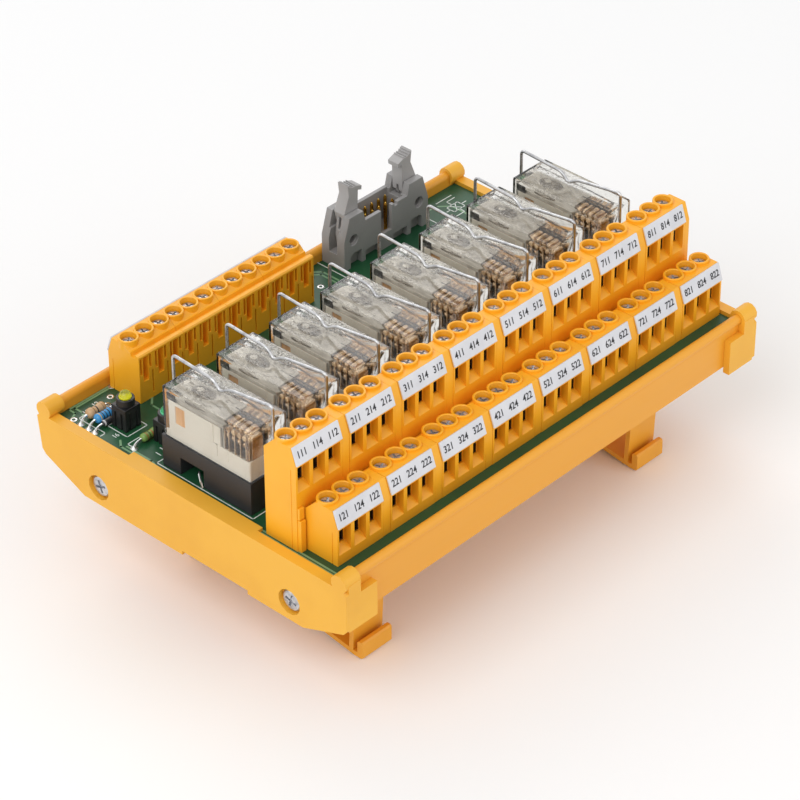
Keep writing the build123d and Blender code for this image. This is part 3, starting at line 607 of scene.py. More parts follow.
def row_tree():
    """Geometry nodes that set like pieces in groups of poles, each turned at random."""
    tree = bpy.data.node_groups.new("rows of like pieces", "GeometryNodeTree")
    tree.interface.new_socket("Geometry", in_out="OUTPUT", socket_type="NodeSocketGeometry")
    wanted = {
        "Piece": "Object", "In group": "Int", "Groups": "Int", "Step": "Vector",
        "Group step": "Vector", "Start": "Vector", "Turn": "Float", "Material": "Material",
    }
    for label, kind in wanted.items():
        tree.interface.new_socket(label, in_out="INPUT", socket_type=f"NodeSocket{kind}")
    given = new_node(tree, "NodeGroupInput").outputs
    piece = new_node(tree, "GeometryNodeObjectInfo", {"Object": given["Piece"]})
    groups = new_node(tree, "GeometryNodeMeshLine", {
        "Count": given["Groups"], "Start Location": given["Start"], "Offset": given["Group step"],
    })
    poles = new_node(tree, "GeometryNodeMeshLine", {"Count": given["In group"], "Offset": given["Step"]})
    spread = new_node(tree, "GeometryNodeInstanceOnPoints", {
        "Points": groups.outputs["Mesh"], "Instance": poles.outputs["Mesh"],
    })
    points = new_node(tree, "GeometryNodeRealizeInstances", {"Geometry": spread.outputs["Instances"]})
    chance = new_node(tree, "FunctionNodeRandomValue", {3: given["Turn"], "Seed": 7}, data_type="FLOAT")
    lean = new_node(tree, "ShaderNodeCombineXYZ", {"Z": chance.outputs[1]})
    placed = new_node(tree, "GeometryNodeInstanceOnPoints", {
        "Points": points.outputs["Geometry"], "Instance": piece.outputs["Geometry"],
        "Rotation": lean.outputs["Vector"],
    })
    real = new_node(tree, "GeometryNodeRealizeInstances", {"Geometry": placed.outputs["Instances"]})
    paint = new_node(tree, "GeometryNodeSetMaterial", {
        "Geometry": real.outputs["Geometry"], "Material": given["Material"],
    })
    new_node(tree, "NodeGroupOutput", {"Geometry": paint.outputs["Geometry"]})
    return tree


ROWS = row_tree()


def row_of(name, mesh, mat, start, groups=1, pitch=0.0, count=1, step=(0, 0, 0), turn=0.0, nodes=()):
    """Like pieces in groups along X, in millimetres, as one plain mesh that rides on the module."""
    piece = added(mesh, name + "_piece", mat)
    holder = added(bpy.data.meshes.new(name), name, mat)
    build = holder.modifiers.new("rows", "NODES")
    build.node_group = ROWS
    values = {
        "Piece": piece, "In group": count, "Groups": groups, "Step": Vector(step) * MM,
        "Group step": Vector((pitch, 0, 0)) * MM, "Start": Vector(start) * MM, "Turn": turn, "Material": mat,
    }
    sockets = {i.name: i.identifier for i in ROWS.interface.items_tree if i.in_out == "INPUT"}
    for label, value in values.items():
        build[sockets[label]] = value
    settled(holder)
    bpy.data.objects.remove(piece)
    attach(holder, "module")
    if nodes:
        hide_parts(*nodes)
    return holder


def numbered(stem):
    """The names of the eight nodes of one kind."""
    return [f"{stem}_{n + 1}" for n in range(GROUPS)]


def rib(rim, width):
    """The solid rib on the right of a block, in the block's own section."""
    return eased(prisms(block_side(rim, FRONT, BACK), [(BLOCK + 0.02, BLOCK + width)]), BLOCK_EDGE)


# label, rim and front, left end of the first block, y of the poles, then blocks and pitch
tiers = [
    ("upper", HIGH_RIM, FRONT, FIRST_X, UPPER_Y, GROUPS, GROUP),
    ("lower", LOW_RIM, FRONT, FIRST_X + LOWER_SHIFT, LOWER_Y, GROUPS, GROUP),
]
input_tier = ("input", LOW_RIM, INPUT_FRONT, INPUT_X - POLE / 2, INPUT_Y, INPUT_BLOCKS, BLOCK)
block_rows = [*tiers, input_tier]
for label, rim, front, x, y, groups, pitch in tiers:
    row_of(f"{label}_terminals", terminal_body(rim, BLOCK, front, BACK), block_plastic,
           (x, y, BOARD_TOP), groups, pitch, nodes=numbered(f"{label}_block"))
    row_of(f"{label}_ribs", rib(rim, RIB), block_plastic, (x, y, BOARD_TOP), groups - 1, pitch)
last_block_x = FIRST_X + (GROUPS - 1) * GROUP
row_of("upper_end_rib", rib(HIGH_RIM, END_RIB), block_plastic, (last_block_x, UPPER_Y, BOARD_TOP))
lug = eased(boxes((*LUG_XS, -FRONT - LUG_OUT, -FRONT + LUG_LAP, *LUG_LOW)), LUG_EDGE)
lug_top = eased(boxes((*LUG_XS, -FRONT - LUG_HIGH_OUT, -FRONT + LUG_LAP, *LUG_HIGH)), LUG_EDGE)
row_of("upper_front_lug", merged(lug, lug_top), block_plastic, (FIRST_X, UPPER_Y, BOARD_TOP))
input_body = terminal_body(LOW_RIM, BLOCK - BLOCK_GAP, INPUT_FRONT, INPUT_BACK, ledged=True)
input_body.transform(HALF_TURN)
input_start = (INPUT_X + BLOCK - POLE / 2, INPUT_Y, BOARD_TOP)
row_of("input_terminals", input_body, block_plastic, input_start, INPUT_BLOCKS, BLOCK,
       nodes=["input_block_row"])

# Wire clamps: the steel cage behind each entry, seen through its mouth,
# which the clamp screw above it pulls up on the wire. The cage is a real part; its near-black colour is
# painted shade inside the entry.

CAGE_IN, CAGE_WALL, CAGE_DEPTH, CAGE_ROOM = 0.08, 0.42, 1.6, 1.1
CAGE_SIDE, CAGE_HEAD, CAGE_FOOT = 0.03, 0.06, 0.12

# near-black clamp colour: painted shade inside each wire entry, over a real steel clamp
clamp_painted_shade = finish("clamp_steel", "2E2925", "1B1816", 0.45, patch=300, grain=2000, bump=0.1, metal=0.5)
for label, rim, front, x, y, groups, pitch in block_rows:
    back_y = -front + RECESS_DEPTH + CAGE_IN
    top_z = -RECESS_TOP - ENTRY_DROP - CAGE_HEAD
    half, foot_z = ENTRY_W / 2 - CAGE_SIDE, top_z - ENTRY_H + CAGE_FOOT
    room = (-half + CAGE_WALL, half - CAGE_WALL, back_y - OVER, back_y + CAGE_ROOM,
            foot_z + CAGE_WALL, top_z - CAGE_WALL)
    cage = carved(boxes((-half, half, back_y, back_y + CAGE_DEPTH, foot_z, top_z)), boxes(room))
    if label == "input":
        cage.transform(HALF_TURN)
    row_of(f"{label}_cages", cage, clamp_painted_shade, (x + POLE / 2, y, BOARD_TOP + rim), groups, pitch,
           count=3, step=(POLE, 0, 0))

# Clamp screws: bright zinc pan heads with a cross slot, sunk in the collars,
# one for each of the sixty poles. Each pulls up a wire clamp inside the block.

CLAMP_R, CLAMP_T = 1.85, 0.8
STUD_R, STUD_LENGTH = 1.3, 3.1

clamp = cross_head(CLAMP_R, CLAMP_T, depth=0.6, arm=1.35, width=0.26)
stud = lathed([(0, -STUD_LENGTH), (STUD_R, -STUD_LENGTH), (STUD_R, 0.1), (0, 0.1)], 14)
clamp_mesh = merged(clamp, stud)
for label, rim, front, x, y, groups, pitch in block_rows:
    start = (x + POLE / 2, y, BOARD_TOP + rim - CLAMP_DROP - CLAMP_T)
    row_of(f"{label}_screws", clamp_mesh.copy(), zinc, start, groups, pitch, count=3,
                        step=(POLE, 0, 0), turn=3.0)
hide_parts("terminal_screws")

# Marker strips: white plastic labels that snap on to the slanted front of each
# block. They carry plain pole numbers in black print, one for each pole.

MARKER_T, MARKER_SINK, MARKER_LIFT = 0.45, 0.03, 0.15
MARKER_GAP, MARKER_EDGE = 0.1, 0.1
NUMBER_SIZE, NUMBER_LIFT, PRINT_T, PRINT_LAP = 2.55, 0.2, 0.02, 0.01

marker_white = finish("marker_white", "DCDDE1", "D2D3D8", 0.5, patch=200, grain=2200, bump=0.05)
print_black = finish("marker_print", "2A2A2E", "1E1E22", 0.6, patch=600, grain=3000, bump=0.03)


def marker(rim, front):
    """One label, as long as a block but for a slight gap at each end."""
    top, foot = rim - COLLAR_RISE, rim - COLLAR_RISE - MARKER_DROP
    side = [(-front + MARKER_LEAN - MARKER_SINK, top), (-front + MARKER_LEAN - MARKER_T, top + MARKER_LIFT),
            (-front - MARKER_T, foot + MARKER_LIFT), (-front - MARKER_SINK, foot)]
    return eased(prisms(side, [(MARKER_GAP, BLOCK - MARKER_GAP)]), MARKER_EDGE)


def marker_place(x, y, rim, front, back_to_front=False):
    """The middle of a pole's label field, facing out along its slope."""
    out = -front + MARKER_LEAN / 2 - MARKER_T - PRINT_LAP
    high = rim - COLLAR_RISE - MARKER_DROP / 2 + NUMBER_LIFT
    face = at(0, out, high) @ Matrix.Rotation(math.atan2(MARKER_DROP, MARKER_LEAN), 4, "X")
    if back_to_front:
        face = HALF_TURN @ face
    return at(x, y, BOARD_TOP) @ face


for label, rim, front, x, y, groups, pitch in block_rows:
    strip = marker(rim, front)
    if label == "input":
        strip.transform(HALF_TURN)
        x += BLOCK
    start = (x, y, BOARD_TOP)
    row_of(f"{label}_markers", strip, marker_white, start, groups, pitch)
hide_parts("marker_strips")

numbers = []
for n in range(GROUPS):
    for k, contact in enumerate((1, 4, 2)):
        for tier, (label, rim, front, first, y, groups, pitch) in enumerate(tiers, 1):
            place = marker_place(first + n * pitch + POLE * (k + 0.5), y, rim, front)
            numbers.append(lettered(f"{n + 1}{tier}{contact}", NUMBER_SIZE, PRINT_T, place))
for k in range(3 * INPUT_BLOCKS):
    place = marker_place(INPUT_X + k * POLE, INPUT_Y, LOW_RIM, INPUT_FRONT, back_to_front=True)
    numbers.append(lettered(str(k + 1), NUMBER_SIZE, PRINT_T, place))
labels = added(merged(*numbers), "marker_numbers", print_black)
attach(labels, "module")

# Relay sockets: black satin mouldings soldered to the board, with an arch over
# the middle of each foot and a post behind that carries the wire bail.

SOCKET_TOP = BOARD_TOP + 9.1
SOCKET_EDGE = 0.18

black_plastic = finish("socket_black", "2C2C2F", "262629", 0.46, patch=80, grain=2000, bump=0.08)
for n, node in enumerate(numbered("relay_socket")):
    moulding(node, f"socket_{n + 1}", black_plastic, SOCKET_EDGE)

# Relay works: a cream moulding under and round the coil, a steel yoke over the
# coil's tape, and two banks of copper alloy contact springs in front.

RELAY_W, RELAY_D, RELAY_H = 12.7, 29.0, 14.2
COVER_T = 0.7
INX, INY = RELAY_W / 2 - COVER_T - 0.03, RELAY_D / 2 - COVER_T - 0.03
SPLIT = -INY + 9.4
BASE_TOP, STEP_TOP, SHELL_TOP, SHELL_WALL, LAP = 2.2, 5.6, 10.9, 1.0, 0.1
WINDOW_NEAR, WINDOW_FAR, WINDOW_LOW, WINDOW_HIGH = 6.4, 3.2, 4.9, 9.9
BLADE_XS, BLADE_YS = (-3.75, 3.75), (-11.0, 9.5)
COIL_R, COIL_Z, COIL_LENGTH = 3.5, 7.1, 14.6
YOKE_W, YOKE_LOW, YOKE_HIGH, CORE_Y = 4.9, 11.0, 12.0, INY - 6.0
SPRING_YS, SPRING_T = (-12.9, -11.2, -9.2, -7.4, -5.9), 0.28
SPRING_IN, SPRING_OUT, SPRING_SHORT = 0.95, 5.15, 4.7
RIVET_X, RIVET_YS, RIVET_Z = 3.0, (-12.0, -10.2, -8.2, -6.5), 9.6
CURL_XS, CURL_YS, CURL_Z = (-4.85, 1.1), (-12.3, -10.5, -8.7, -6.9), 11.5
CARD_T, CARD_LOW, CARD_HIGH, CARD_Y = 0.12, 12.75, 12.95, -INY + 4.4
CARD_IN, CARD_OUT = 0.14, 5.1

cream = finish("relay_cream", "F8F5F0", "F0ECE5", 0.5, patch=120, grain=1800, bump=0.08)
tape = finish("coil_tape", "F6C48C", "E8A866", 0.45, patch=160, grain=1500, bump=0.2, stretch=(1, 6, 1))
steel = finish("yoke_steel", "D2CEC8", "ABA69E", 0.4, patch=260, grain=2000, bump=0.15, metal=0.45)
copper = finish("spring_copper", "E2C7A6", "957659", 0.24, patch=420, grain=2400, bump=0.2, metal=0.7)
armature_steel = finish("armature_steel", "8E867C", "5F5850", 0.4, patch=500, grain=1600, bump=0.3,
                        metal=0.6)
# dark card colour, also used for the painted shade of the slot at each relay's rear corner
card_and_slot_shade = finish("contact_card", "221F1D", "1A1817", 0.5, patch=200, grain=2000, bump=0.08)


def fitted(name, mesh, mat, nodes=(), width=0.12):
    """One eased piece in each of the eight relays."""
    return row_of(name, eased(mesh, width), mat, (RELAY_X, 0, SOCKET_TOP), GROUPS, GROUP, nodes=nodes)


shell = boxes((-INX, INX, SPLIT - 0.2, INY - 1.0, BASE_TOP - LAP, SHELL_TOP))
room = boxes((-INX + SHELL_WALL, INX - SHELL_WALL, SPLIT + 1.1, INY - 2.1, BASE_TOP + SHELL_WALL, 12.0))
window = boxes((-INX - OVER, -INX + 2, INY - WINDOW_NEAR, INY - WINDOW_FAR, WINDOW_LOW, WINDOW_HIGH))
grooves = boxes(*[(s - 0.7, s + 0.7, SPLIT + 0.5, SPLIT + 2.3, 5.7, 12) for s in (-INX, INX)])
seams = boxes(*[(s - 0.4, s + 0.4, SPLIT + 0.8, SPLIT + 1.1, 1.0, 5.6) for s in (-INX, INX)])
housing = carved(shell, room, window, grooves, seams)
base = boxes((-INX, INX, -INY, INY, 0.03, BASE_TOP))
front_slit = boxes((-0.2, 0.2, -INY - OVER, SPLIT - 2, 3.2, 7))
side_slit = boxes((-INX - OVER, -INX + 0.25, SPLIT - 3.0, SPLIT - 2.6, 0, 7))
front_step = carved(boxes((-INX, INX, -INY, SPLIT, BASE_TOP - LAP, STEP_TOP)), front_slit, side_slit)
blades = boxes(*[(x - 0.3, x + 0.3, y - 0.9, y + 0.9, -3.6, 0.4) for x in BLADE_XS for y in BLADE_YS])
moulded = merged(housing, base, front_step, blades)
fitted("relay_mouldings", moulded, cream, ["relay_frames"])

winding = lathed([(0, 0), (COIL_R, 0), (COIL_R, COIL_LENGTH), (0, COIL_LENGTH)], 28)
winding.transform(at(0, SPLIT + 1.3 + COIL_LENGTH, COIL_Z) @ Matrix.Rotation(math.pi / 2, 4, "X"))
flap = boxes((-INX + 0.45, -INX + 0.7, INY - WINDOW_NEAR - 0.1, INY - WINDOW_FAR + 0.1,
              WINDOW_LOW - 0.1, WINDOW_HIGH + 0.1))
fitted("coil_windings", merged(winding, flap), tape, ["relay_coils"])

yoke = [(SPLIT - 0.6, YOKE_LOW), (INY - 0.4, YOKE_LOW), (INY - 0.4, YOKE_HIGH), (SPLIT - 0.9, YOKE_HIGH),
        (SPLIT - 1.4, 5.8), (SPLIT - 0.9, 5.8)]
core_hole = lathed([(0, 10), (1.5, 10), (1.5, 13), (0, 13)], 24)
core_hole.transform(at(0, CORE_Y))
core = lathed([(0, 10.6), (1.1, 10.6), (1.1, 12.3), (0.9, 12.45), (0, 12.45)], 24)
core.transform(at(0, CORE_Y))
yoke_mesh = carved(prisms(yoke, [(-YOKE_W, YOKE_W)]), core_hole)
fitted("coil_yokes", merged(yoke_mesh, core), steel)
armature = lathed([(0, 12.0), (2.5, 12.0), (2.5, 12.3), (1.5, 12.3), (1.5, 12.15), (0, 12.15)], 28)
armature.transform(at(-0.4, INY - 7.6) @ Matrix.Diagonal((1, 1.45, 1, 1)))
fitted("coil_armatures", armature, armature_steel, width=0.04)

springs = []
for s in (-1, 1):
    for k, y in enumerate(SPRING_YS):
        reach = SPRING_OUT if k % 2 else SPRING_SHORT
        springs.append((s * SPRING_IN, s * reach, y, y + SPRING_T, STEP_TOP, 11.2))
rivet = lathed([(0, -0.5), (0.85, -0.5), (0.95, 0), (0.85, 0.5), (0, 0.5)], 16)
rivet.transform(Matrix.Rotation(math.pi / 2, 4, "X"))
rivet_spots = [at(s * RIVET_X, y, RIVET_Z) for s in (-1, 1) for y in RIVET_YS]
curl = lathed([(0, 0), (0.6, 0), (0.82, 0.3), (0.82, 3.4), (0.6, 3.7), (0, 3.7)], 20, axis="X")
curl_spots = [at(x, y, CURL_Z) for x in CURL_XS for y in CURL_YS]
bank = [boxes(*springs)] + [rivet] * len(rivet_spots) + [curl] * len(curl_spots)
fitted("contact_springs", merged(*bank, places=[Matrix()] + rivet_spots + curl_spots), copper,
       ["relay_contacts"], width=0.05)
# the card between the banks, its edges on top, and at the rear corner two dark plates that are painted shade
# for the slot there
divider = boxes(
    (-CARD_T, CARD_T, -INY + 0.25, SPLIT - 0.1, 5.5, 11.2),
    (-CARD_T, CARD_T, -INY + 0.25, SPLIT + 0.3, CARD_LOW, CARD_HIGH),
    (-CARD_OUT, -CARD_IN, CARD_Y, CARD_Y + 0.22, CARD_LOW, CARD_HIGH),
    (CARD_IN, CARD_OUT, CARD_Y, CARD_Y + 0.22, CARD_LOW, CARD_HIGH),
    (-INX + 0.02, -INX + 0.3, INY - 3.4, INY - 0.5, 10.9, 12.9),
    (-INX + 0.02, -INX + 0.3, INY - 2.2, INY - 0.9, 9.6, 10.9),
)
fitted("contact_dividers", divider, card_and_slot_shade, width=0.06)

# Relay covers: clear smoky plastic boxes, open below, snapped over the works.
# The walls are thin, the edges rounded and the top lightly frosted by moulding.

COVER_TOP = SOCKET_TOP + RELAY_H
COVER_EDGE = 0.5
SPECK_GREY, SPECK_GRAIN = "8A857F", 2100
FRONT_SPECKS = 0.2


def clear_plastic(name, colour, roughness, grain):
    """Clear plastic that lets the lamps through."""
    mat, tree, shader = bare_material(name)
    place = new_node(tree, "ShaderNodeTexCoord").outputs["Object"]
    fine = new_node(tree, "ShaderNodeTexNoise", {"Vector": place, "Scale": grain, "Detail": 3})
    haze = new_node(tree, "ShaderNodeMapRange", {
        "Value": fine.outputs["Fac"], "From Min": 0.35, "From Max": 0.7,
        "To Min": roughness, "To Max": roughness + 0.06,
    })
    dent = new_node(tree, "ShaderNodeBump", {
        "Height": fine.outputs["Fac"], "Strength": 0.08, "Distance": 0.2 * MM,
    })
    feed(shader, {
        "Base Color": srgb(colour), "Transmission Weight": 1.0, "IOR": 1.49,
        "Roughness": haze.outputs["Result"], "Normal": dent.outputs["Normal"],
    })
    open_way = new_node(tree, "ShaderNodeBsdfTransparent", {"Color": srgb(colour)})
    ray = new_node(tree, "ShaderNodeLightPath").outputs
    either = new_node(tree, "ShaderNodeMath", {0: ray["Is Shadow Ray"], 1: ray["Is Diffuse Ray"]},
                      operation="MAXIMUM")
    choice = new_node(tree, "ShaderNodeMixShader", {
        "Fac": either.outputs["Value"], 1: shader.outputs["BSDF"], 2: open_way.outputs["BSDF"],
    })
    feed(tree.nodes["Material Output"], {"Surface": choice.outputs["Shader"]})
    return mat


def frosted(mat, above):
    """Grey specks on clear plastic above a height, fewer towards the front, as the mould left them."""
    tree = mat.node_tree
    shader = tree.nodes["Principled BSDF"]
    place = new_node(tree, "ShaderNodeTexCoord").outputs["Object"]
    split = new_node(tree, "ShaderNodeSeparateXYZ", {"Vector": place})
    high = new_node(tree, "ShaderNodeMath", {0: split.outputs["Z"], 1: above}, operation="GREATER_THAN")
    speck = new_node(tree, "ShaderNodeTexNoise", {"Vector": place, "Scale": SPECK_GRAIN, "Detail": 3})
    spots = new_node(tree, "ShaderNodeMapRange", {
        "Value": speck.outputs["Fac"], "From Min": 0.5, "From Max": 0.64, "To Max": 1.0,
    })
    rear = new_node(tree, "ShaderNodeMapRange", {
        "Value": split.outputs["Y"], "From Min": -6 * MM, "From Max": -2 * MM, "To Min": FRONT_SPECKS,
    })
    area = new_node(tree, "ShaderNodeMath", {0: high.outputs["Value"], 1: rear.outputs["Result"]},
                    operation="MULTIPLY")
    amount = new_node(tree, "ShaderNodeMath", {0: area.outputs["Value"], 1: spots.outputs["Result"]},
                      operation="MULTIPLY")
    tint = new_node(tree, "ShaderNodeMix", {
        "Factor": amount.outputs["Value"], "A": tuple(shader.inputs["Base Color"].default_value),
        "B": srgb(SPECK_GREY),
    }, data_type="RGBA")
    clear = shader.inputs["Roughness"].links[0].from_socket
    rough = new_node(tree, "ShaderNodeMath", {0: amount.outputs["Value"], 1: 0.5, 2: clear},
                     operation="MULTIPLY_ADD")
    feed(shader, {"Base Color": tint.outputs["Result"], "Roughness": rough.outputs["Value"]})
    return mat


cover_clear = frosted(clear_plastic("cover_clear", "F0EEE9", 0.015, 1500), above=(COVER_TOP - 0.3) * MM)
half_w, half_d = RELAY_W / 2, RELAY_D / 2
outer = eased(boxes((-half_w, half_w, -half_d, half_d, 0, RELAY_H)), COVER_EDGE, steps=3)
inner_w, inner_d = half_w - COVER_T, half_d - COVER_T
inner = boxes((-inner_w, inner_w, -inner_d, inner_d, -OVER, RELAY_H - COVER_T))
row_of("relay_covers", smooth(carved(outer, inner), 40), cover_clear, (RELAY_X, 0, SOCKET_TOP),
       GROUPS, GROUP, nodes=numbered("relay_cover"))

# Wire bails: bright spring wire bent over each relay. The rear end turns in the
# socket's post, the middle dips on to the cover and the front hooks its foot.

WIRE_DRAWN_R, WIRE_BEND = 0.42, 1.3
PIVOT_Y, PIVOT_Z = 16.95, 54.2
BAIL_FRONT_Y = -16.2
BEND_STEPS = 6

spring_wire = finish("spring_wire", "CACACB", "A2A2A5", 0.28, patch=500, grain=2000, bump=0.1, metal=0.9)
bends = [
    (4.8, PIVOT_Y, PIVOT_Z), (0, PIVOT_Y, PIVOT_Z), (0, PIVOT_Y, COVER_TOP + 4.3), (0, 3.3, COVER_TOP + 3.6),
    (0, 1.1, COVER_TOP + 1.2), (0, -2.2, COVER_TOP + 3.3), (0, BAIL_FRONT_Y, COVER_TOP + 5.4),
    (0, BAIL_FRONT_Y, BOARD_TOP + 4.0),
]


def bent_wire(points, radius, bend, sides):
    """A round wire along straight runs with each corner bent to a radius."""
    corners = [Vector(p) * MM for p in points]
    line = [corners[0]]
    for before, here, after in zip(corners, corners[1:], corners[2:]):
        reach = min(bend * MM, 0.45 * (here - before).length, 0.45 * (after - here).length)
        a, b = here + (before - here).normalized() * reach, here + (after - here).normalized() * reach
        for k in range(BEND_STEPS + 1):
            t = k / BEND_STEPS
            line.append((1 - t) ** 2 * a + 2 * t * (1 - t) * here + t * t * b)
    line.append(corners[-1])
    curve = bpy.data.curves.new("wire", "CURVE")
    curve.dimensions = "3D"
    curve.bevel_depth = radius * MM
    curve.bevel_resolution = sides // 4 - 1
    curve.use_fill_caps = True
    spline = curve.splines.new("POLY")
    spline.points.add(len(line) - 1)
    for point, place in zip(spline.points, line):
        point.co = (*place, 1)
    return smooth(curve_mesh(curve), 50)


bail_mesh = bent_wire(bends, WIRE_DRAWN_R, WIRE_BEND, 16)
for n, x in enumerate(RELAYS_X):
    mesh = bail_mesh.copy()
    mesh.transform(at(x, 0))
    bail = added(mesh, f"bail_{n + 1}", spring_wire)
    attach(bail, f"clip_{n + 1}")
    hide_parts(f"retaining_clip_{n + 1}")

# Ribbon header: a grey shrouded housing with high ends, a key slot and two
# latches that turn on axles in those ends and hook over the plug.

HEADER_X, HEADER_Y, HEADER_D, HEADER_EDGE = 36.8, 40.1, 8.1, 0.2
PIVOT_X, PIVOT_HIGH = 12.3, BOARD_TOP + 8.2
AXLE_R, AXLE_CUT, AXLE_HOLE_R, AXLE_SINK = 1.24, 2.6, 1.6, 0.8
RIDGE_W, RIDGE_L, RIDGE_EDGE = 0.12, 1.7, 0.06
# how far in from the axle and how high above the board each ridge stands
RIDGES = ((0.9, 23.0), (1.5, 22.6), (2.4, 22.35), (3.2, 22.3))
PIN_PITCH, PIN, PIN_LOW, PIN_TOP, PIN_POINT = 2.54, 0.32, 3.2, 11.5, 0.6

grey_plastic = finish("header_grey", "9A9897", "8F8D8C", 0.42, patch=80, grain=1800, bump=0.08)
latch_grey = finish("latch_grey", "AEACAB", "A3A1A0", 0.42, patch=80, grain=1800, bump=0.08)
lying = Matrix.Rotation(-math.pi / 2, 4, "X")
ends = {"near": -1, "far": 1}
axles = {side: at(HEADER_X + out * PIVOT_X, HEADER_Y, PIVOT_HIGH) @ lying for side, out in ends.items()}
hole = lathed([(0, -0.5), (AXLE_HOLE_R, -0.5), (AXLE_HOLE_R, AXLE_SINK), (0, AXLE_SINK)], 28)
end_cut = lathed([(0, -0.5), (AXLE_R, -0.5), (AXLE_R, AXLE_CUT), (0, AXLE_CUT)], 28)
moulding("header_housing", "header_shroud", grey_plastic, HEADER_EDGE,
         cutters=[merged(hole, hole, places=list(axles.values()))])
for side, out in ends.items():
    moulding(f"header_latch_{side}", f"{side}_latch", latch_grey, HEADER_EDGE,
             body=f"latch_{side}", cutters=[merged(end_cut, places=[axles[side]])])
    bars = []
    for along, high in RIDGES:
        x, y, z = HEADER_X + out * (PIVOT_X - along), HEADER_Y + HEADER_D / 2, BOARD_TOP + high
        bars.append((x - RIDGE_W, x + RIDGE_W, y - RIDGE_L, y + RIDGE_L, z - 0.2, z + 0.28))
    ridges = rounded(added(boxes(*bars), f"{side}_latch_ridges", latch_grey), RIDGE_EDGE)
    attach(ridges, f"latch_{side}")

gold = finish("pin_gold", "E0B04A", "C9962F", 0.25, patch=600, grain=2400, bump=0.08, metal=1.0)
pin_length, corner = PIN_TOP - PIN_LOW, PIN * 1.414
pin_mesh = lathed([(corner, 0), (corner, pin_length - PIN_POINT), (PIN * 0.5, pin_length)], 4)
pin_mesh.transform(Matrix.Rotation(math.pi / 4, 4, "Z"))
first_pin = (HEADER_X - 2 * PIN_PITCH, HEADER_Y + HEADER_D / 2 - PIN_PITCH / 2, BOARD_TOP + PIN_LOW)
row_of("gold_pins", pin_mesh, gold, first_pin, 5, PIN_PITCH, count=2, step=(0, PIN_PITCH, 0),
       nodes=["header_pins"])

# Status lamps: tinted lenses standing in black square holders, one yellow for
# the supply and a green one behind each relay, each held by a round collar.

LAMP_DX, SUPPLY_Y = 0.9, 32.9
LAMP_R, HOLDER_W, HOLDER_H, HOLDER_RIM, DOME_Z = 1.5, 5.1, 6.5, 8.5, 8.8
NOTCH_AT, NOTCH_W, NOTCH_DEPTH, NOTCH_TOP = (-1.1, 1.1), 0.3, 0.45, HOLDER_H - 1.6
CUP_R, CUP_TOP, CUP_DIP = LAMP_R - 0.1, HOLDER_RIM - 0.5, 0.5
DOME_STEPS = 7

holder_black = finish("holder_black", "1E1D1F", "171618", 0.35, patch=150, grain=2000, bump=0.12)
yellow_lens = clear_plastic("yellow_lens", "F0F0D0", 0.3, 900)
green_lens = clear_plastic("green_lens", "A8E8CC", 0.12, 900)
cup_yellow = finish("lamp_cup_yellow", "EEE92C", "D9D71E", 0.4, patch=300, grain=1500, bump=0.05)
cup_green = finish("lamp_cup_green", "7FE0B4", "6BCFA2", 0.4, patch=300, grain=1500, bump=0.05)
relay_lamp = (RELAY_X + LAMP_DX, LAMP_Y, BOARD_TOP)
supply_lamp = (SUPPLY_X, SUPPLY_Y, BOARD_TOP)

case = boxes((-HOLDER_W / 2, HOLDER_W / 2, -HOLDER_D / 2, HOLDER_D / 2, 0, HOLDER_H))
notches = boxes(
    *[(d - NOTCH_W, d + NOTCH_W, -HOLDER_D, -HOLDER_D / 2 + NOTCH_DEPTH, -OVER, NOTCH_TOP) for d in NOTCH_AT],
    *[(-HOLDER_W, -HOLDER_W / 2 + NOTCH_DEPTH, d - NOTCH_W, d + NOTCH_W, -OVER, NOTCH_TOP) for d in NOTCH_AT],
)
lamp_collar = smooth(ring(LAMP_R + 0.08, LAMP_R + 0.8, HOLDER_H - 0.3, HOLDER_RIM, 0.15, 32))
holder_mesh = merged(eased(carved(case, notches), 0.2), lamp_collar)
row_of("relay_lamp_holders", holder_mesh.copy(), holder_black, relay_lamp, GROUPS, GROUP,
       nodes=["led_holders"])
row_of("supply_lamp_holder", holder_mesh, holder_black, supply_lamp)

dome = [(0, HOLDER_H - 0.3), (LAMP_R, HOLDER_H - 0.3), (LAMP_R, DOME_Z)]
for k in range(1, DOME_STEPS):
    a = math.pi / 2 * k / DOME_STEPS
    dome.append((LAMP_R * math.cos(a), DOME_Z + LAMP_R * math.sin(a)))
lens_mesh = smooth(lathed(dome + [(0, DOME_Z + LAMP_R)], 32), 60)
row_of("relay_lamps", lens_mesh.copy(), green_lens, relay_lamp, GROUPS, GROUP, nodes=["status_leds"])
row_of("supply_lamp", lens_mesh, yellow_lens, supply_lamp)
cup = lathed([(0, HOLDER_H - 0.2), (CUP_R, HOLDER_H - 0.2), (CUP_R, CUP_TOP), (0.4, CUP_TOP - CUP_DIP),
              (0, CUP_TOP - CUP_DIP)], 24)
rim_ring = ring(LAMP_R - 0.02, LAMP_R + 0.1, HOLDER_RIM - 0.4, HOLDER_RIM + 0.3, 0.03, 32)
cup = smooth(merged(cup, rim_ring), 30)
row_of("relay_lamp_cups", cup.copy(), cup_green, relay_lamp, GROUPS, GROUP)
row_of("supply_lamp_cup", cup, cup_yellow, supply_lamp)

# Leaded parts: two resistors and a diode beside the supply lamp, and one
# resistor behind each relay lamp. Their tinned leads arc down into the board.

BODY_LIFT = 0.35
LEAD_R, LEAD_BEND, ARC_STEPS = 0.33, 0.2, 5
ARCH_LEAD_R, ARCH_LEAD_BEND = 0.3, 1.2

lead_wire = finish("tinned_lead", "E6E6E4", "CFCFCD", 0.22, patch=600, grain=2400, bump=0.08, metal=0.9)


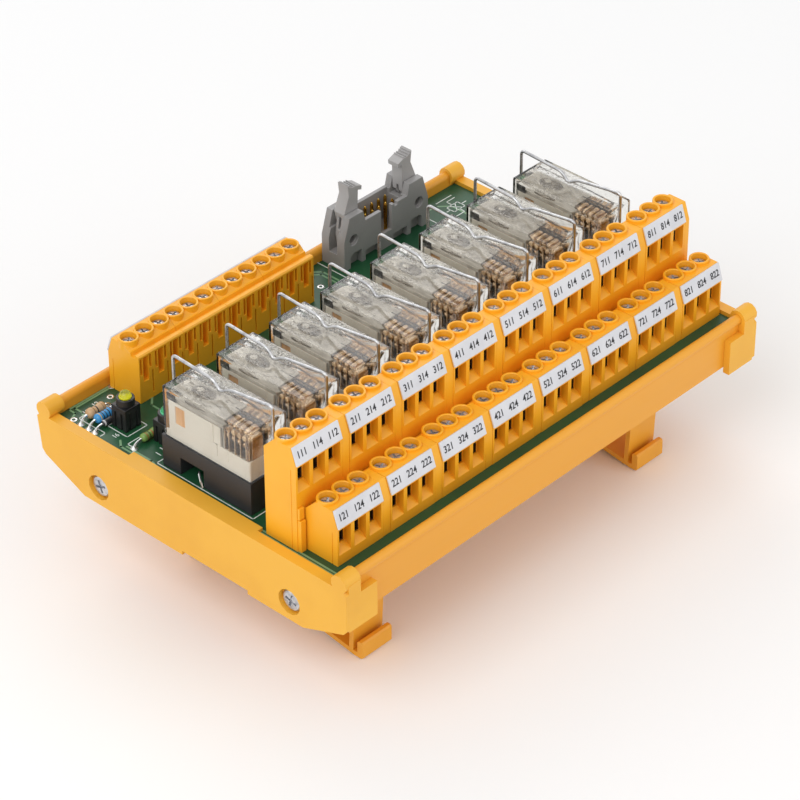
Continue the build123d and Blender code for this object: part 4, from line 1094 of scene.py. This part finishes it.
def part_body(length, r, bulge):
    """A lacquered body along X from x=0, swollen at its ends when bulge is above one."""
    ends = [(0, 0), (0.45 * r, 0), (0.8 * r * bulge, 0.18 * r), (r * bulge, 0.6 * r), (r * bulge, 1.3 * r),
            (r * 0.96, 1.7 * r)]
    far = [(a, length - b) for a, b in reversed(ends)]
    return smooth(lathed(ends + far, 28, axis="X"), 50)


def banded(name, body, *bands):
    """Lacquer with painted rings, each from and to a place along X in millimetres."""
    mat = finish(name, body, body, 0.3, patch=400, grain=1500, bump=0.04)
    tree = mat.node_tree
    shader = tree.nodes["Principled BSDF"]
    under = shader.inputs["Base Color"].links[0].from_socket
    along = new_node(tree, "ShaderNodeAttribute", attribute_name="along").outputs["Fac"]
    for low, high, colour in bands:
        inside = new_node(tree, "ShaderNodeMath", {0: along, 1: (low + high) / 2, 2: (high - low) / 2},
                          operation="COMPARE")
        paint = new_node(tree, "ShaderNodeMix", {
            "Factor": inside.outputs["Value"], "A": under, "B": srgb(colour),
        }, data_type="RGBA")
        under = paint.outputs["Result"]
    feed(shader, {"Base Color": under})
    return mat


def laid_part(x, y, start, length, r, bulge):
    """One body at its place, which keeps how far along it each point is."""
    mesh = part_body(length, r, bulge)
    kept = mesh.attributes.new("along", "FLOAT", "POINT")
    kept.data.foreach_set("value", [v.co.x / MM for v in mesh.vertices])
    mesh.transform(at(x + start, y, BOARD_TOP + r + BODY_LIFT))
    return mesh


tan_body = banded("tan_resistor", "C9A57C", (1.6, 1.9, "8A6A4A"), (2.6, 2.95, "2A211C"),
                  (4.2, 4.5, "A8895F"))
blue_body = banded("blue_resistor", "3F96D2", (1.0, 1.25, "D8B060"), (1.9, 2.2, "1C2A3C"),
                   (2.8, 3.1, "1C2A3C"), (3.7, 4.0, "1C2A3C"), (4.6, 4.85, "7A4A2A"))
diode_body = banded("diode_black", "2A2A2C", (0.3, 0.75, "C8C8CA"))
green_body = banded("relay_resistor", "7FA050", (1.2, 1.5, "B05A3A"), (2.1, 2.4, "2A2A22"),
                    (3.0, 3.3, "B05A3A"))
supply_looks = (("tan", tan_body, 1.12), ("blue", blue_body, 1.1), ("diode", diode_body, 1.0))
for row, (label, mat, bulge) in zip(lead_rows, supply_looks):
    piece = added(laid_part(*row, bulge), f"{label}_part", mat)
    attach(piece, "module")
relay_rows = lead_rows[len(supply_looks):]
relay_parts = added(merged(*[laid_part(*row, 1.1) for row in relay_rows]), "relay_resistors", green_body)
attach(relay_parts, "module")

wires = []
for x, y, start, length, r in lead_rows:
    reach, rise = start - 0.1, r + BODY_LIFT
    arc = []
    for k in range(ARC_STEPS + 1):
        a = math.pi / 2 * k / ARC_STEPS
        arc.append((x + reach * (1 - math.cos(a)), y, BOARD_TOP + rise * math.sin(a)))
    far_arc = [(2 * x + LEAD_PITCH - px, py, pz) for px, py, pz in reversed(arc)]
    wires.append(bent_wire(arc + far_arc, LEAD_R, LEAD_BEND, 8))
for x in RELAYS_X:
    under = [(x - 6.9, 1.3, BOARD_TOP), (x - 6.5, 2.3, BOARD_TOP + 1.5), (x - 5.4, 3.9, BOARD_TOP + 2.6),
             (x - 3.0, 6.0, BOARD_TOP)]
    wires.append(bent_wire(under, ARCH_LEAD_R, ARCH_LEAD_BEND, 8))
leads = added(merged(*wires), "component_leads", lead_wire)
smooth(leads.data, 50)
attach(leads, "module")
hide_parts("leaded_components")

# Floor, light and camera: a pale sweep under large soft lamps, and a long lens
# at the height and angle of the photograph. The background shows as plain white.

FLOOR_HALF, FLOOR_DROP, PAPER = 6, 0.0002, 0.97
AIM_HEIGHT = 0.04
CAMERA_MM = (-519.131, -484.705, 540.264)
CAMERA_TURN = (54.1928, 0.1844, -47.0287)
FOCAL_PX, FRAME_PX = 3506.02, 800

sweep = bpy.data.meshes.new("sweep")
corners = [(-FLOOR_HALF, -FLOOR_HALF, 0), (FLOOR_HALF, -FLOOR_HALF, 0), (FLOOR_HALF, FLOOR_HALF, 0),
           (-FLOOR_HALF, FLOOR_HALF, 0)]
sweep.from_pydata(corners, [], [(0, 1, 2, 3)])
paper, tree, shader = bare_material("paper")
feed(shader, {"Base Color": (PAPER, PAPER, PAPER, 1), "Roughness": 0.9, "Specular IOR Level": 0.1})
floor = added(sweep, "floor", paper)
floor.location.z = -FLOOR_DROP
floor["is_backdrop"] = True

world = bpy.data.worlds.new("studio")
bpy.context.scene.world = world
world.use_nodes = True
tree = world.node_tree
light = feed(tree.nodes["Background"], {"Color": (1, 1, 1, 1), "Strength": 0.65})
seen = new_node(tree, "ShaderNodeBackground", {"Color": (1, 1, 1, 1), "Strength": 1.0})
ray = new_node(tree, "ShaderNodeLightPath").outputs
shine = new_node(tree, "ShaderNodeMath", {0: ray["Is Glossy Ray"], 1: ray["Is Transmission Ray"]},
                 operation="MAXIMUM")
bright = new_node(tree, "ShaderNodeMath", {0: ray["Is Camera Ray"], 1: shine.outputs["Value"]},
                  operation="MAXIMUM")
mix = new_node(tree, "ShaderNodeMixShader", {
    "Fac": bright.outputs["Value"], 1: light.outputs["Background"], 2: seen.outputs["Background"],
})
feed(tree.nodes["World Output"], {"Surface": mix.outputs["Shader"]})


def lamp(name, place, size, power):
    """A soft rectangular lamp aimed at the module."""
    data = bpy.data.lights.new(name, "AREA")
    data.shape = "RECTANGLE"
    data.size, data.size_y = size
    data.energy = power
    obj = bpy.data.objects.new(name, data)
    bpy.context.scene.collection.objects.link(obj)
    obj.location = place
    obj.rotation_euler = (Vector((0, 0, AIM_HEIGHT)) - Vector(place)).to_track_quat("-Z", "Y").to_euler()


lamp("key", (-0.85, -0.1, 0.9), (0.9, 0.9), 5.8)
lamp("fill", (0.35, -0.95, 0.5), (0.9, 0.6), 2.2)
lamp("rear", (0.5, 0.9, 0.8), (0.8, 0.5), 2.6)

lens = bpy.data.cameras.new("camera")
lens.sensor_width = 36
lens.lens = FOCAL_PX / FRAME_PX * lens.sensor_width
lens.clip_start = 0.01
camera = bpy.data.objects.new("camera", lens)
bpy.context.scene.collection.objects.link(camera)
camera.location = Vector(CAMERA_MM) * MM
camera.rotation_euler = [math.radians(a) for a in CAMERA_TURN]
bpy.context.scene.camera = camera
bpy.context.scene.view_settings.view_transform = "Standard"

low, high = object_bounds()
